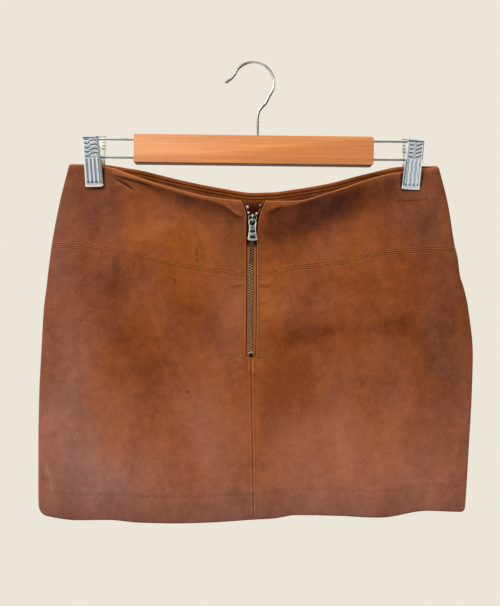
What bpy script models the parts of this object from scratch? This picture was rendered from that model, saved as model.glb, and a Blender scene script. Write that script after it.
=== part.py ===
"""Suede mini skirt with a shaped yoke and an exposed metal zip, hung by the two
clips of a wooden bar hanger.

Metres, +Z up.  The origin is the inner top of the hanger's hook, the front faces
-Y, and x grows to the right as seen from the front.  The tables hold millimetres:
a "drop" is the distance below the origin, and "across" runs from 0 at the left
side seam to 1 at the right one.
"""

import math

import bmesh
import bpy
from mathutils import Matrix, Vector

for old in list(bpy.data.objects):
    bpy.data.objects.remove(old)

MM = 0.001
UPRIGHT = Matrix.Rotation(math.pi / 2, 4, "X")
SIDEWAYS = Matrix(((0, 0, 1, 0), (1, 0, 0, 0), (0, 1, 0, 0), (0, 0, 0, 1)))
FRONT = -1
BACK = 1
LEFT = -1
RIGHT = 1

# Cloth and seams, in mm
CLOTH = 1.6
FACING = 1.1
TAPE = 1.0
SEAM = 0.3

# The skirt's outline and fullness, in mm
SIDES = (
    # drop, left side, right side, front bulge, back bulge
    (104, -190, 196, 10.0, 6.0),
    (148, -201, 207, 14.5, 8.0),
    (191, -209, 214, 18.5, 10.0),
    (222, -213, 218, 20.0, 11.0),
    (255, -217, 228, 21.0, 12.0),
    (305, -220, 233, 22.0, 12.5),
    (345, -222, 232, 21.0, 12.5),
    (400, -223, 229, 19.0, 12.5),
    (450, -223, 226, 17.0, 12.0),
    (478, -222, 224, 16.0, 12.0),
)
ROUNDNESS = 0.6
HELD_DEPTH = {FRONT: 2.1, BACK: 3.1}

# The cut edges, in mm
EDGES = (
    # across, front waist, back waist, yoke seam, hem
    (0.00, 106, 105, 191, 474),
    (0.09, 108, 106, 194, 476),
    (0.18, 119, 110, 199, 475),
    (0.30, 134, 123, 212, 477),
    (0.41, 144, 131, 219, 475),
    (0.50, 147, 135, 224, 472),
    (0.60, 147, 132, 216, 468),
    (0.70, 137, 125, 211, 468),
    (0.80, 124, 115, 201, 471),
    (0.90, 114, 108, 197, 467),
    (1.00, 109, 107, 195, 470),
)
FRONT_WAIST, BACK_WAIST, YOKE_SEAM, HEM = 1, 2, 3, 4
BACK_HEM_RISE = 2.5
WAIST_CORNER = 4.0
HEM_CORNER = {LEFT: 9.0, RIGHT: 5.0}

# The zip down the centre front, in mm
ZIP = (
    # drop, centre line, half of the opening, half of the gap between the tapes
    (144, 2.4, 14.0, 5.6),
    (150, 2.0, 11.7, 5.0),
    (158, 1.8, 6.4, 3.6),
    (165, 1.7, 5.5, 1.6),
    (170, 1.6, 5.4, 0.15),
    (224, 0.8, 5.3, 0.15),
    (306, 0.1, 5.3, 0.15),
    (390, 1.4, 5.3, 0.15),
    (478, 2.9, 5.3, 0.15),
)
CENTRE_LINE, HALF_OPENING, HALF_TAPE_GAP = 1, 2, 3
OPENING_BOTTOM = 306.2
TAPE_TOP, TAPE_BOTTOM, TAPE_WIDTH, TAPE_STEPS = 150.0, 316.0, 11.8, 16
CHAIN_TOP, CHAIN_BOTTOM, CHAIN_WIDTH, CHAIN_DEPTH, CHAIN_STEPS = 167.5, 300.9, 4.2, 2.0, 12
CHAIN_PROUD = 0.4
STOP_DROP, STOP_RADIUS, STOP_DEPTH, STOP_EDGE = 303.4, 2.1, 2.6, 0.5
TOP_STOP_DROP, TOP_STOP_SIZE, TOP_STOP_EDGE = 153.5, (2.2, 2.0, 2.8), 0.4

# The slider and its pull tab, in mm: x to the right, y into the cloth and z up
# from the slider's middle, and the tab from its hinge
SLIDER_DROP = 165.5
SLIDER_HALF = ((3.4, 4.0), (4.3, 3.0), (4.3, 0.5), (3.2, -2.5), (3.0, -6.5))
SLIDER_FRONT, SLIDER_FRONT_DEPTH = -1.3, 1.0
SLIDER_BACK, SLIDER_BACK_DEPTH = 3.7, 0.8
SLIDER_POST, SLIDER_POST_Z = (1.6, 5.0, 1.4), 2.8
BRIDGE = ((-1.4, 4.0), (-3.6, 4.0), (-5.2, 2.6), (-5.4, -2.6), (-4.2, -4.3), (-1.4, -4.3),
          (-1.4, -2.6), (-3.4, -2.6), (-4.05, -2.0), (-4.0, 2.0), (-3.0, 2.7), (-1.4, 2.7))
BRIDGE_WIDTH = 1.5
HINGE = (0.0, -2.95, -1.65)
TAB_HALF = ((0.0, 0.55), (1.8, 0.5), (3.5, -0.3), (4.35, -1.9), (4.45, -3.7), (4.0, -5.6), (3.6, -7.0), (3.7, -9.0),
            (3.9, -12.0), (4.5, -15.5), (5.2, -19.0), (5.7, -20.8), (5.3, -21.4), (3.0, -21.5), (0.0, -22.0))
TAB_THICK = 1.1
TAB_EYE = (-3.4, 2.5, 2.8)
TAB_SLOT = ((2.5, -11.1), (2.5, -14.1))

# The roll of the front waist edge, in mm
ROLL_FORWARD, ROLL_EDGE = 1.0, 4.0
VALLEY_DEPTH, VALLEY_DROP, VALLEY_WIDTH = 1.6, 11.0, 5.0
STIFF_AT_ZIP, STIFF_FADE = 27.0, 10.0

# The hanger, in mm, in its own level frame
HANGER_TILT = math.radians(0.5)
BAR_LENGTH, BAR_DEPTH, BAR_HEIGHT = 250.0, 12.0, 30.6
BAR_CENTRE = (4.2, 0.0, -92.2)
BAR_EDGE, BAR_LEFT_CORNER, BAR_RIGHT_CORNER = 1.2, 1.5, 3.0
HOOK_RADIUS, HOOK_WIRE, HOOK_STEPS = 21.7, 1.5, 18
HOOK_CENTRE_X = 3.0
HOOK_ARC = (160, -38)
HOOK_TIP = ((-25.6, -19.8), (-21.2, -16.9))
HOOK_NECK = ((16.2, -41.4), (11.6, -47.2), (8.9, -53.4), (7.8, -60.0))
HOOK_SHANK_X, HOOK_SHANK_TOP, HOOK_SHANK_BOTTOM = 7.6, -68.0, -92.0
WIRE, WIRE_TOP, WIRE_LOW, WIRE_IN_BAR = 1.2, -80.9, -99.9, 24.0
HOLE_SPACE = 0.4
CLIP_X = {LEFT: -162.3, RIGHT: 168.2}
CLIP_WIDTH_TOP, CLIP_WIDTH_LOW, PLATE = 17.2, 18.6, 0.9
JAW_HALF, JAW_END = 11.5, 131.0
PLATES = {
    # how far below the pivot, how far from the wires
    FRONT: ((-17.0, 13.0), (-8.0, 8.8), (0.0, 5.6), (8.0, 4.7), (18.0, 4.4), (28.0, 3.6), (31.8, 3.1)),
    BACK: ((-20.0, 11.0), (-9.0, 8.2), (0.0, 6.2), (8.0, 5.6), (18.0, 5.3), (28.0, 4.6), (31.8, 4.1)),
}
GRIP_ROWS, GRIP_END, FLUTE_ROWS, LIP_ROWS, FLUTE_EDGES = 9, 3.0, (5.0, 17.0, 27.5), (28.8, 31.8), 10
RELIEF = 0.3
LUG_AT = {FRONT: 4.7, BACK: 3.3}
LUG_THICK, LUG_HEIGHT, LUG_PAST = 0.8, 5.2, 2.2
BEND_RADIUS, BEND_PAST = 2.4, 7.6
SPRING_RADIUS, SPRING_WIRE, SPRING_HALF, SPRING_TURNS = 2.1, 0.45, 2.1, 2.5
SPRING_LEG_HEIGHT, SPRING_LEG_REACH = 7.0, 6.6

# Where the cloth's columns lie, from the side seam to the centre: close together
# at the side fold and at the clip, which a wide flat face would cut
HALF_COLUMNS = (0.0, 0.016, 0.048, 0.084, 0.146, 0.208, 0.24, 0.28, 0.35, 0.43, 0.52, 0.62, 0.72, 0.82, 0.91, 1.0)
YOKE_ROWS = (0.0, 0.03, 0.07, 0.13, 0.2, 0.3, 0.45, 0.62, 0.8, 1.0)
PANEL_ROWS = (0.0, 0.08, 0.16, 0.25, 0.3295, 0.3325, 0.42, 0.51, 0.6, 0.7, 0.8, 0.9, 0.96, 1.0)
FACING_ROWS = (0.012, 0.03, 0.07, 0.13, 0.2, 0.3, 0.36)


# ---------------------------------------------------------------- numbers

def mix(start, end, share):
    return start + (end - start) * share


def smooth(rows, column, at):
    """A table column's value at a place along its first column, with no overshoot."""
    places = [row[0] for row in rows]
    values = [row[column] for row in rows]
    at = min(max(at, places[0]), places[-1])
    index = max(i for i in range(len(rows) - 1) if places[i] <= at)
    slopes = [(values[i + 1] - values[i]) / (places[i + 1] - places[i]) for i in range(len(rows) - 1)]

    def tangent(i):
        if i == 0 or i == len(rows) - 1:
            return slopes[min(i, len(slopes) - 1)]
        before, after = slopes[i - 1], slopes[i]
        return 2 * before * after / (before + after) if before * after > 0 else 0.0

    width = places[index + 1] - places[index]
    t = (at - places[index]) / width
    rise = values[index + 1] - values[index]
    start, end = tangent(index) * width, tangent(index + 1) * width
    return values[index] + t * start + t * t * (3 * rise - 2 * start - end) + t ** 3 * (start + end - 2 * rise)


def rounded(distance, radius):
    """How far a rounded corner draws an edge back at a distance from its end."""
    inside = max(0.0, radius - distance)
    return radius - math.sqrt(radius * radius - inside * inside)


# ---------------------------------------------------------------- objects

def new_collection(name):
    collection = bpy.data.collections.new(name)
    bpy.context.scene.collection.children.link(collection)
    return collection


def finish(name, colour, roughness, metallic=0.0):
    material = bpy.data.materials.new(name)
    material.use_nodes = True
    shader = material.node_tree.nodes["Principled BSDF"]
    shader.inputs["Base Color"].default_value = (*colour, 1.0)
    shader.inputs["Roughness"].default_value = roughness
    shader.inputs["Metallic"].default_value = metallic
    material.diffuse_color = (*colour, 1.0)
    return material


def add_part(name, data, material, parent=None):
    part = bpy.data.objects.new(name, data)
    data.materials.append(material)
    PARTS.objects.link(part)
    part.parent = parent
    return part


def add_guide(name, parent=None, location=(0, 0, 0), rotation=(0, 0, 0)):
    """An empty that places the pieces parented to it."""
    guide = bpy.data.objects.new(name, None)
    PARTS.objects.link(guide)
    guide.parent = parent
    guide.location = Vector(location) * MM
    guide.rotation_euler = rotation
    return guide


def combine(part, name, mesh, operation, location=(0, 0, 0), parent=None):
    """Join a hidden shape to a part, or cut the part with it."""
    tool = bpy.data.objects.new(name, mesh)
    CUTTERS.objects.link(tool)
    tool.parent = parent
    tool.location = Vector(location) * MM
    tool.hide_render = True
    tool.display_type = "WIRE"
    boolean = part.modifiers.new(name, "BOOLEAN")
    boolean.operation = operation
    boolean.object = tool


def box_mesh(name, size):
    mesh = bpy.data.meshes.new(name)
    shape = bmesh.new()
    bmesh.ops.create_cube(shape, size=1.0)
    bmesh.ops.scale(shape, vec=Vector(size) * MM, verts=shape.verts)
    shape.to_mesh(mesh)
    shape.free()
    return mesh


def rod_mesh(name, radius, length, axis, sides=16):
    """A cylinder about its middle, along X, Y or Z."""
    turn = {"X": Matrix.Rotation(math.pi / 2, 4, "Y"), "Y": Matrix.Rotation(math.pi / 2, 4, "X"), "Z": Matrix()}
    mesh = bpy.data.meshes.new(name)
    shape = bmesh.new()
    bmesh.ops.create_cone(shape, cap_ends=True, segments=sides, radius1=radius * MM, radius2=radius * MM,
                          depth=length * MM, matrix=turn[axis])
    shape.to_mesh(mesh)
    shape.free()
    return mesh


def wire_curve(name, points, radius, resolution=2):
    """A round wire along points in mm."""
    curve = bpy.data.curves.new(name, "CURVE")
    curve.dimensions = "3D"
    curve.bevel_depth = radius * MM
    curve.bevel_resolution = resolution
    curve.use_fill_caps = True
    spline = curve.splines.new("POLY")
    spline.points.add(len(points) - 1)
    for place, point in zip(spline.points, points):
        place.co = (*(Vector(point) * MM), 1.0)
    return curve


def outline_mesh(name, outlines, thickness, turn=Matrix()):
    """A flat plate from closed outlines in mm, the first one outside and the rest holes."""
    curve = bpy.data.curves.new(name, "CURVE")
    curve.dimensions = "2D"
    curve.fill_mode = "BOTH"
    curve.extrude = thickness * MM / 2
    for outline in outlines:
        spline = curve.splines.new("POLY")
        spline.points.add(len(outline) - 1)
        spline.use_cyclic_u = True
        for place, (x, y) in zip(spline.points, outline):
            place.co = (x * MM, y * MM, 0.0, 1.0)
    drawing = bpy.data.objects.new(name, curve)
    CUTTERS.objects.link(drawing)
    bpy.context.view_layer.update()
    mesh = bpy.data.meshes.new_from_object(drawing.evaluated_get(bpy.context.evaluated_depsgraph_get()))
    bpy.data.objects.remove(drawing)
    shape = bmesh.new()
    shape.from_mesh(mesh)
    bmesh.ops.remove_doubles(shape, verts=shape.verts, dist=0.000001)
    bmesh.ops.transform(shape, matrix=turn, verts=shape.verts)
    bmesh.ops.recalc_face_normals(shape, faces=shape.faces)
    shape.to_mesh(mesh)
    shape.free()
    return mesh


def round_edges(part, width):
    edge = part.modifiers.new("edge", "BEVEL")
    edge.width = width * MM
    edge.segments = 2
    edge.limit_method = "ANGLE"
    edge.angle_limit = math.radians(60)


def shade(part, sharp_from):
    part.data.shade_smooth()
    part.data.set_sharp_from_angle(angle=math.radians(sharp_from))


# ---------------------------------------------------------------- the skirt's form

def pinch(x, drop):
    """How far the clips hold the cloth shut, from 0 to 1, fading out below the jaws."""
    below = max(0.0, drop - JAW_END)
    reach = 12.0 + 0.5 * below
    fade = math.exp(-(below / 50.0) ** 2)
    held = 0.0
    for side in (LEFT, RIGHT):
        jaw = CLIP_X[side] - drop * math.sin(HANGER_TILT)
        off = max(0.0, abs(x - jaw) - JAW_HALF)
        held += fade * math.exp(-(off / reach) ** 2)
    return min(1.0, held)


def edge_drop(side, edge, across):
    """Drop of the waist, yoke seam or hem of the front or the back, and a shift below it."""
    line, shift = edge
    drop = smooth(EDGES, line, across)
    width = smooth(SIDES, 2, drop) - smooth(SIDES, 1, drop)
    from_left, from_right = across * width, (1 - across) * width
    if line in (FRONT_WAIST, BACK_WAIST):
        drop += rounded(from_left, WAIST_CORNER) + rounded(from_right, WAIST_CORNER)
    if line == HEM:
        drop -= rounded(from_left, HEM_CORNER[LEFT]) + rounded(from_right, HEM_CORNER[RIGHT])
        drop -= BACK_HEM_RISE * min(1.0, from_left / 30, from_right / 30) if side == BACK else 0.0
    if line == YOKE_SEAM and side == BACK:
        drop -= smooth(EDGES, FRONT_WAIST, across) - smooth(EDGES, BACK_WAIST, across)
    return drop + shift


def waist_roll(x, across, drop):
    """The front waist edge leans out, with a shallow valley under it, but not at the zip."""
    below = drop - edge_drop(FRONT, (FRONT_WAIST, 0), across)
    roll = ROLL_FORWARD * math.exp(-(below / ROLL_EDGE) ** 2)
    valley = VALLEY_DEPTH * math.exp(-((below - VALLEY_DROP) / VALLEY_WIDTH) ** 2)
    off_zip = max(0.0, abs(x - smooth(ZIP, CENTRE_LINE, drop)) - STIFF_AT_ZIP)
    return (roll - valley) * (1 - math.exp(-(off_zip / STIFF_FADE) ** 2))


def ring_point(side, across, drop, wrap=1.0):
    """A point of the skirt's outer surface; wrap 0 is the rim at the side seam."""
    x = mix(smooth(SIDES, 1, drop), smooth(SIDES, 2, drop), across)
    roundness = max(0.0, 1 - (2 * across - 1) ** 2) ** ROUNDNESS
    loose = roundness * (1 - pinch(x, drop))
    depth = smooth(SIDES, 3 if side == FRONT else 4, drop) * loose
    if side == FRONT:
        depth += waist_roll(x, across, drop) * loose
    depth = mix(SEAM / 2, HELD_DEPTH[side] + depth, wrap)
    return Vector((x, side * depth, -drop)) * MM


def across_at(x, drop):
    left, right = smooth(SIDES, 1, drop), smooth(SIDES, 2, drop)
    return (x - left) / (right - left)


def opening_edge(half, drop):
    """x of the front's edge at the zip, and of the centre-front seam below it."""
    width = smooth(ZIP, HALF_OPENING, drop) if drop < OPENING_BOTTOM else SEAM / 2
    return smooth(ZIP, CENTRE_LINE, drop) + half * width


def front_half(half, top, bottom):
    """The surface function of a front piece on one side of the zip."""
    def point(column, row):
        toward_centre, wrap = column
        across = toward_centre / 2 if half == LEFT else 1 - toward_centre / 2
        for _ in range(3):
            drop = mix(edge_drop(FRONT, top, across), edge_drop(FRONT, bottom, across), row)
            side = smooth(SIDES, 1 if half == LEFT else 2, drop)
            x = mix(side, opening_edge(half, drop), toward_centre)
            across = across_at(x, drop)
        return ring_point(FRONT, across, drop, wrap)
    return point


def back_whole(top, bottom):
    """The surface function of a back piece, from side to side."""
    def point(column, row):
        across, wrap = column
        drop = mix(edge_drop(BACK, top, across), edge_drop(BACK, bottom, across), row)
        return ring_point(BACK, across, drop, wrap)
    return point


def moved_out(surface, amount):
    """A surface function whose points lie an amount further out than another's."""
    step = 0.02

    def point(column, row):
        across, wrap = column
        here = surface(column, row)
        along = surface((across + step, wrap), row) - surface((across - step, wrap), row)
        down = surface(column, row + step) - surface(column, row - step)
        normal = down.cross(along).normalized()
        if normal.y * here.y < 0:
            normal.negate()
        return here + normal * amount * MM
    return point


# ---------------------------------------------------------------- cloth pieces

def cloth(name, surface, columns, rows, thickness, material):
    """A cloth wall: a grid laid on a surface function, from left to right as seen
    from outside, and made solid inward."""
    mesh = bpy.data.meshes.new(name)
    shape = bmesh.new()
    last_column, last_row = len(columns) - 1, len(rows) - 1
    bmesh.ops.create_grid(shape, x_segments=last_column, y_segments=last_row, size=0.5)
    for vertex in shape.verts:
        column = columns[round((vertex.co.x + 0.5) * last_column)]
        row = rows[round((0.5 - vertex.co.y) * last_row)]
        vertex.co = surface(column, row)
    shape.to_mesh(mesh)
    shape.free()
    mesh.shade_smooth()
    part = add_part(name, mesh, material)
    wall = part.modifiers.new("wall", "SOLIDIFY")
    wall.thickness = thickness * MM
    wall.offset = -1
    return part


def build_front(suede):
    rim = ((0.0, 0.0),)
    from_side = rim + tuple((share, 1.0) for share in HALF_COLUMNS)
    waist, hem = (FRONT_WAIST, 0), (HEM, 0)
    over_seam, under_seam = (YOKE_SEAM, -SEAM / 2), (YOKE_SEAM, SEAM / 2)
    for half, word in ((LEFT, "left"), (RIGHT, "right")):
        columns = from_side if half == LEFT else from_side[::-1]
        cloth("front_yoke_" + word, front_half(half, waist, over_seam), columns, YOKE_ROWS, CLOTH, suede)
        cloth("front_panel_" + word, front_half(half, under_seam, hem), columns, PANEL_ROWS, CLOTH, suede)


def build_back(suede, lining_suede):
    left_half = tuple(share / 2 for share in HALF_COLUMNS)
    whole = left_half + tuple(1 - across for across in left_half[-2::-1])
    columns = ((0.0, 0.0),) + tuple((across, 1.0) for across in whole) + ((1.0, 0.0),)
    columns = columns[::-1]
    yoke = back_whole((BACK_WAIST, 0), (YOKE_SEAM, -SEAM / 2))
    panel = back_whole((YOKE_SEAM, SEAM / 2), (HEM, 0))
    cloth("back_yoke", yoke, columns, YOKE_ROWS, CLOTH, suede)
    cloth("back_panel", panel, columns, PANEL_ROWS, CLOTH, suede)
    cloth("back_facing", moved_out(yoke, -CLOTH - SEAM), columns[4:-4], FACING_ROWS, FACING, lining_suede)


# ---------------------------------------------------------------- the zip

def zip_surface(half, inner, outer, top, bottom):
    """The front's surface in a strip beside or over the zip's centre line; inner and
    outer give its edges' distances from that line at a drop."""
    def point(column, row):
        drop = mix(top, bottom, row)
        off = mix(inner(drop), outer(drop), column[0])
        x = smooth(ZIP, CENTRE_LINE, drop) + half * off
        return ring_point(FRONT, across_at(x, drop), drop)
    return point


def build_tapes(tape):
    def inner(drop):
        return smooth(ZIP, HALF_TAPE_GAP, drop)

    def outer(drop):
        return inner(drop) + TAPE_WIDTH

    rows = [row / TAPE_STEPS for row in range(TAPE_STEPS + 1)]
    for half, word in ((LEFT, "left"), (RIGHT, "right")):
        strip = zip_surface(half, inner, outer, TAPE_TOP, TAPE_BOTTOM)
        columns = ((1.0, 1.0), (0.5, 1.0), (0.0, 1.0))
        columns = columns if half == LEFT else columns[::-1]
        cloth("zip_tape_" + word, moved_out(strip, -CLOTH - SEAM), columns, rows, TAPE, tape)


def build_chain(metal):
    strip = zip_surface(RIGHT, lambda drop: -CHAIN_WIDTH / 2, lambda drop: CHAIN_WIDTH / 2, CHAIN_TOP, CHAIN_BOTTOM)
    rows = [row / CHAIN_STEPS for row in range(CHAIN_STEPS + 1)]
    cloth("zip_chain", moved_out(strip, CHAIN_PROUD), ((0.0, 1.0), (1.0, 1.0)), rows, CHAIN_DEPTH, metal)


def zip_guide(name, drop):
    """An empty on the front's surface at the zip, square to the cloth: -Y points out."""
    def on_surface(place):
        return ring_point(FRONT, across_at(smooth(ZIP, CENTRE_LINE, place), place), place)

    here, over, under = on_surface(drop), on_surface(drop - 4), on_surface(drop + 4)
    lean = math.atan2(over.y - under.y, over.z - under.z)
    return add_guide(name, location=here / MM, rotation=(-lean, 0, 0))


def build_stops(metal, dark_metal):
    middle = CHAIN_DEPTH / 2 - CHAIN_PROUD
    top = zip_guide("zip_top", TOP_STOP_DROP)
    off = smooth(ZIP, HALF_TAPE_GAP, TOP_STOP_DROP)
    for half, word in ((LEFT, "left"), (RIGHT, "right")):
        mesh = box_mesh("zip_top_stop_" + word, TOP_STOP_SIZE)
        stop = add_part(mesh.name, mesh, metal, top)
        stop.location = Vector((half * off, middle, 0)) * MM
        round_edges(stop, TOP_STOP_EDGE)
    bottom = zip_guide("zip_bottom", STOP_DROP)
    mesh = rod_mesh("zip_bottom_stop", STOP_RADIUS, STOP_DEPTH, "Y")
    stop = add_part(mesh.name, mesh, dark_metal, bottom)
    stop.location = Vector((0, CHAIN_DEPTH - CHAIN_PROUD - STOP_DEPTH / 2, 0)) * MM
    round_edges(stop, STOP_EDGE)


def ellipse(centre_y, half_width, half_height, points=16):
    turns = [2 * math.pi * i / points for i in range(points)]
    return [(half_width * math.cos(turn), centre_y + half_height * math.sin(turn)) for turn in turns]


def mirrored(half_outline):
    """A closed outline from its right half, top to bottom."""
    return list(half_outline) + [(-x, y) for x, y in reversed(half_outline) if x > 0]


def build_slider(metal, head):
    outline = mirrored(SLIDER_HALF)
    front = outline_mesh("zip_slider", [outline], SLIDER_FRONT_DEPTH, UPRIGHT)
    slider = add_part("zip_slider", front, metal, head)
    slider.location = Vector((0, SLIDER_FRONT, 0)) * MM
    back = outline_mesh("slider_back", [outline], SLIDER_BACK_DEPTH, UPRIGHT)
    combine(slider, "slider_back", back, "UNION", (0, SLIDER_BACK, 0), head)
    post = box_mesh("slider_post", SLIDER_POST)
    combine(slider, "slider_post", post, "UNION", (0, (SLIDER_FRONT + SLIDER_BACK) / 2, SLIDER_POST_Z), head)
    bridge = outline_mesh("slider_bridge", [BRIDGE], BRIDGE_WIDTH, SIDEWAYS)
    combine(slider, "slider_bridge", bridge, "UNION", (0, 0, 0), head)


def build_pull_tab(metal, head):
    outlines = [mirrored(TAB_HALF), ellipse(*TAB_EYE), mirrored(TAB_SLOT)]
    mesh = outline_mesh("zip_pull_tab", outlines, TAB_THICK, UPRIGHT)
    tab = add_part("zip_pull_tab", mesh, metal, head)
    tab.location = Vector(HINGE) * MM


# ---------------------------------------------------------------- the hanger

def build_bar(wood, hanger):
    mesh = box_mesh("hanger_bar", (BAR_LENGTH, BAR_DEPTH, BAR_HEIGHT))
    shape = bmesh.new()
    shape.from_mesh(mesh)
    for side, radius in ((LEFT, BAR_LEFT_CORNER), (RIGHT, BAR_RIGHT_CORNER)):
        corners = [edge for edge in shape.edges
                   if all(vertex.co.x * side > 0 for vertex in edge.verts)
                   and abs(edge.verts[0].co.y - edge.verts[1].co.y) > BAR_DEPTH * MM / 2]
        bmesh.ops.bevel(shape, geom=corners, offset=radius * MM, segments=3, profile=0.5, affect="EDGES")
    shape.to_mesh(mesh)
    shape.free()
    bar = add_part("hanger_bar", mesh, wood, hanger)
    bar.location = Vector(BAR_CENTRE) * MM
    round_edges(bar, BAR_EDGE)
    for side, word in ((LEFT, "left"), (RIGHT, "right")):
        end = BAR_CENTRE[0] + side * BAR_LENGTH / 2
        for height, level in ((WIRE_TOP, "top"), (WIRE_LOW, "low")):
            name = "wire_hole_" + word + "_" + level
            hole = rod_mesh(name, WIRE + HOLE_SPACE, 2 * (WIRE_IN_BAR + SEAM), "X")
            combine(bar, name, hole, "DIFFERENCE", (end, 0, height), hanger)
    bar_top = BAR_CENTRE[2] + BAR_HEIGHT / 2
    hole = rod_mesh("hook_hole", HOOK_WIRE + HOLE_SPACE, 2 * (bar_top - HOOK_SHANK_BOTTOM + SEAM), "Z")
    combine(bar, "hook_hole", hole, "DIFFERENCE", (HOOK_SHANK_X, 0, bar_top), hanger)
    shade(bar, 35)


def build_hook(chrome, hanger):
    centre_z = HOOK_WIRE - HOOK_RADIUS
    start, end = HOOK_ARC
    arc = []
    for i in range(HOOK_STEPS + 1):
        turn = math.radians(mix(start, end, i / HOOK_STEPS))
        arc.append((HOOK_CENTRE_X + HOOK_RADIUS * math.cos(turn), centre_z + HOOK_RADIUS * math.sin(turn)))
    shank = ((HOOK_SHANK_X, HOOK_SHANK_TOP), (HOOK_SHANK_X, HOOK_SHANK_BOTTOM))
    route = list(HOOK_TIP) + arc + list(HOOK_NECK) + list(shank)
    curve = wire_curve("hanger_hook", [(x, 0, z) for x, z in route], HOOK_WIRE)
    add_part("hanger_hook", curve, chrome, hanger)


def build_wires(steel, hanger):
    for side, word in ((LEFT, "left"), (RIGHT, "right")):
        inside = BAR_CENTRE[0] + side * (BAR_LENGTH / 2 - WIRE_IN_BAR)
        outside = CLIP_X[side] + side * BEND_PAST
        route = [(inside, 0, WIRE_LOW)]
        for height, first, last in ((WIRE_LOW + BEND_RADIUS, -90, 0), (WIRE_TOP - BEND_RADIUS, 0, 90)):
            for i in range(5):
                turn = math.radians(mix(first, last, i / 4))
                x = outside - side * BEND_RADIUS * (1 - math.cos(turn))
                route.append((x, 0, height + BEND_RADIUS * math.sin(turn)))
        route.append((inside, 0, WIRE_TOP))
        add_part("hanger_wire_" + word, wire_curve("hanger_wire_" + word, route, WIRE), steel, hanger)


def clip_plate(name, face, chrome, pivot):
    """A pressed clip plate: grip ridges on the handle, flutes down the jaw, a plain lip."""
    profile = PLATES[face]
    top, end = profile[0][0], profile[-1][0]
    rows = [(mix(top, GRIP_END, i / GRIP_ROWS), "grip", i) for i in range(GRIP_ROWS + 1)]
    rows += [(below, "flute", 0) for below in FLUTE_ROWS] + [(below, "lip", 0) for below in LIP_ROWS]

    def surface(column, row):
        below, zone, step = row
        relief = 0.0
        if zone == "grip" and 0 < step < GRIP_ROWS:
            relief = RELIEF if step % 2 else -RELIEF
        if zone == "flute":
            relief = -RELIEF if column % 2 else RELIEF
        width = mix(CLIP_WIDTH_TOP, CLIP_WIDTH_LOW, (below - top) / (end - top))
        x = (column / FLUTE_EDGES - 0.5) * width
        return Vector((x, face * (smooth(profile, 1, below) + relief), -below)) * MM

    columns = list(range(FLUTE_EDGES + 1))
    plate = cloth(name, surface, columns if face == FRONT else columns[::-1], rows, PLATE, chrome)
    plate.parent = pivot
    plate.modifiers["wall"].offset = 0
    reach = smooth(profile, 1, 0)
    for side in (LEFT, RIGHT):
        lug_name = name + "_lug" + str(side)
        lug = box_mesh(lug_name, (LUG_THICK, reach + LUG_PAST, LUG_HEIGHT))
        place = (side * LUG_AT[face], face * (reach - LUG_PAST) / 2, 0)
        combine(plate, lug_name, lug, "UNION", place, pivot)
    hole = rod_mesh(name + "_hole", WIRE + HOLE_SPACE, CLIP_WIDTH_TOP, "X")
    combine(plate, name + "_hole", hole, "DIFFERENCE", (0, 0, 0), pivot)
    shade(plate, 20)


def build_clips(chrome, steel, hanger):
    for side, word in ((LEFT, "left"), (RIGHT, "right")):
        pivot = add_guide("clip_pivot_" + word, hanger, (CLIP_X[side], 0, WIRE_LOW))
        clip_plate("clip_" + word + "_front", FRONT, chrome, pivot)
        clip_plate("clip_" + word + "_back", BACK, chrome, pivot)
        count = round(SPRING_TURNS * 8)
        route = [(-SPRING_HALF, -SPRING_LEG_REACH, SPRING_LEG_HEIGHT)]
        for i in range(count + 1):
            turn = math.pi * (1 + 2 * SPRING_TURNS * i / count)
            x = mix(-SPRING_HALF, SPRING_HALF, i / count)
            route.append((x, SPRING_RADIUS * math.cos(turn), SPRING_RADIUS * math.sin(turn)))
        route.append((SPRING_HALF, SPRING_LEG_REACH, SPRING_LEG_HEIGHT))
        name = "clip_" + word + "_spring"
        add_part(name, wire_curve(name, route, SPRING_WIRE, 1), steel, pivot)


# ---------------------------------------------------------------- all of it

PARTS = new_collection("suede_mini_skirt_on_clip_hanger")
CUTTERS = new_collection("cutters")


def build():
    suede = finish("suede", (0.33, 0.11, 0.045), 0.9)
    facing = finish("facing_suede", (0.27, 0.075, 0.02), 0.85)
    tape = finish("zip_tape", (0.4, 0.13, 0.045), 0.8)
    wood = finish("beech", (0.7, 0.26, 0.09), 0.45)
    chrome = finish("chrome", (0.8, 0.82, 0.85), 0.18, 1.0)
    steel = finish("steel_wire", (0.5, 0.51, 0.52), 0.3, 1.0)
    zip_metal = finish("zip_metal", (0.5, 0.47, 0.42), 0.35, 1.0)
    dark_metal = finish("dark_zip_metal", (0.12, 0.12, 0.12), 0.4, 1.0)
    build_front(suede)
    build_back(suede, facing)
    build_tapes(tape)
    build_chain(zip_metal)
    build_stops(zip_metal, dark_metal)
    head = zip_guide("zip_head", SLIDER_DROP)
    build_slider(zip_metal, head)
    build_pull_tab(zip_metal, head)
    hanger = add_guide("hanger", rotation=(0, HANGER_TILT, 0))
    build_bar(wood, hanger)
    build_hook(chrome, hanger)
    build_wires(steel, hanger)
    build_clips(chrome, steel, hanger)


build()
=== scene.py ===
"""The looks of a suede mini skirt with an exposed zip, hung by the two clips of a
wooden bar hanger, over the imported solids.

Tables and sizes are in mm.  The origin is the inner top of the hanger's hook and the
front faces -Y: a "drop" is the distance below the origin, x grows to the right as seen
from the front, and "across" runs from 0 at the left side seam to 1 at the right one.
"""

import math

import bmesh
import bpy
import numpy as np
from mathutils import Matrix, Vector


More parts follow.
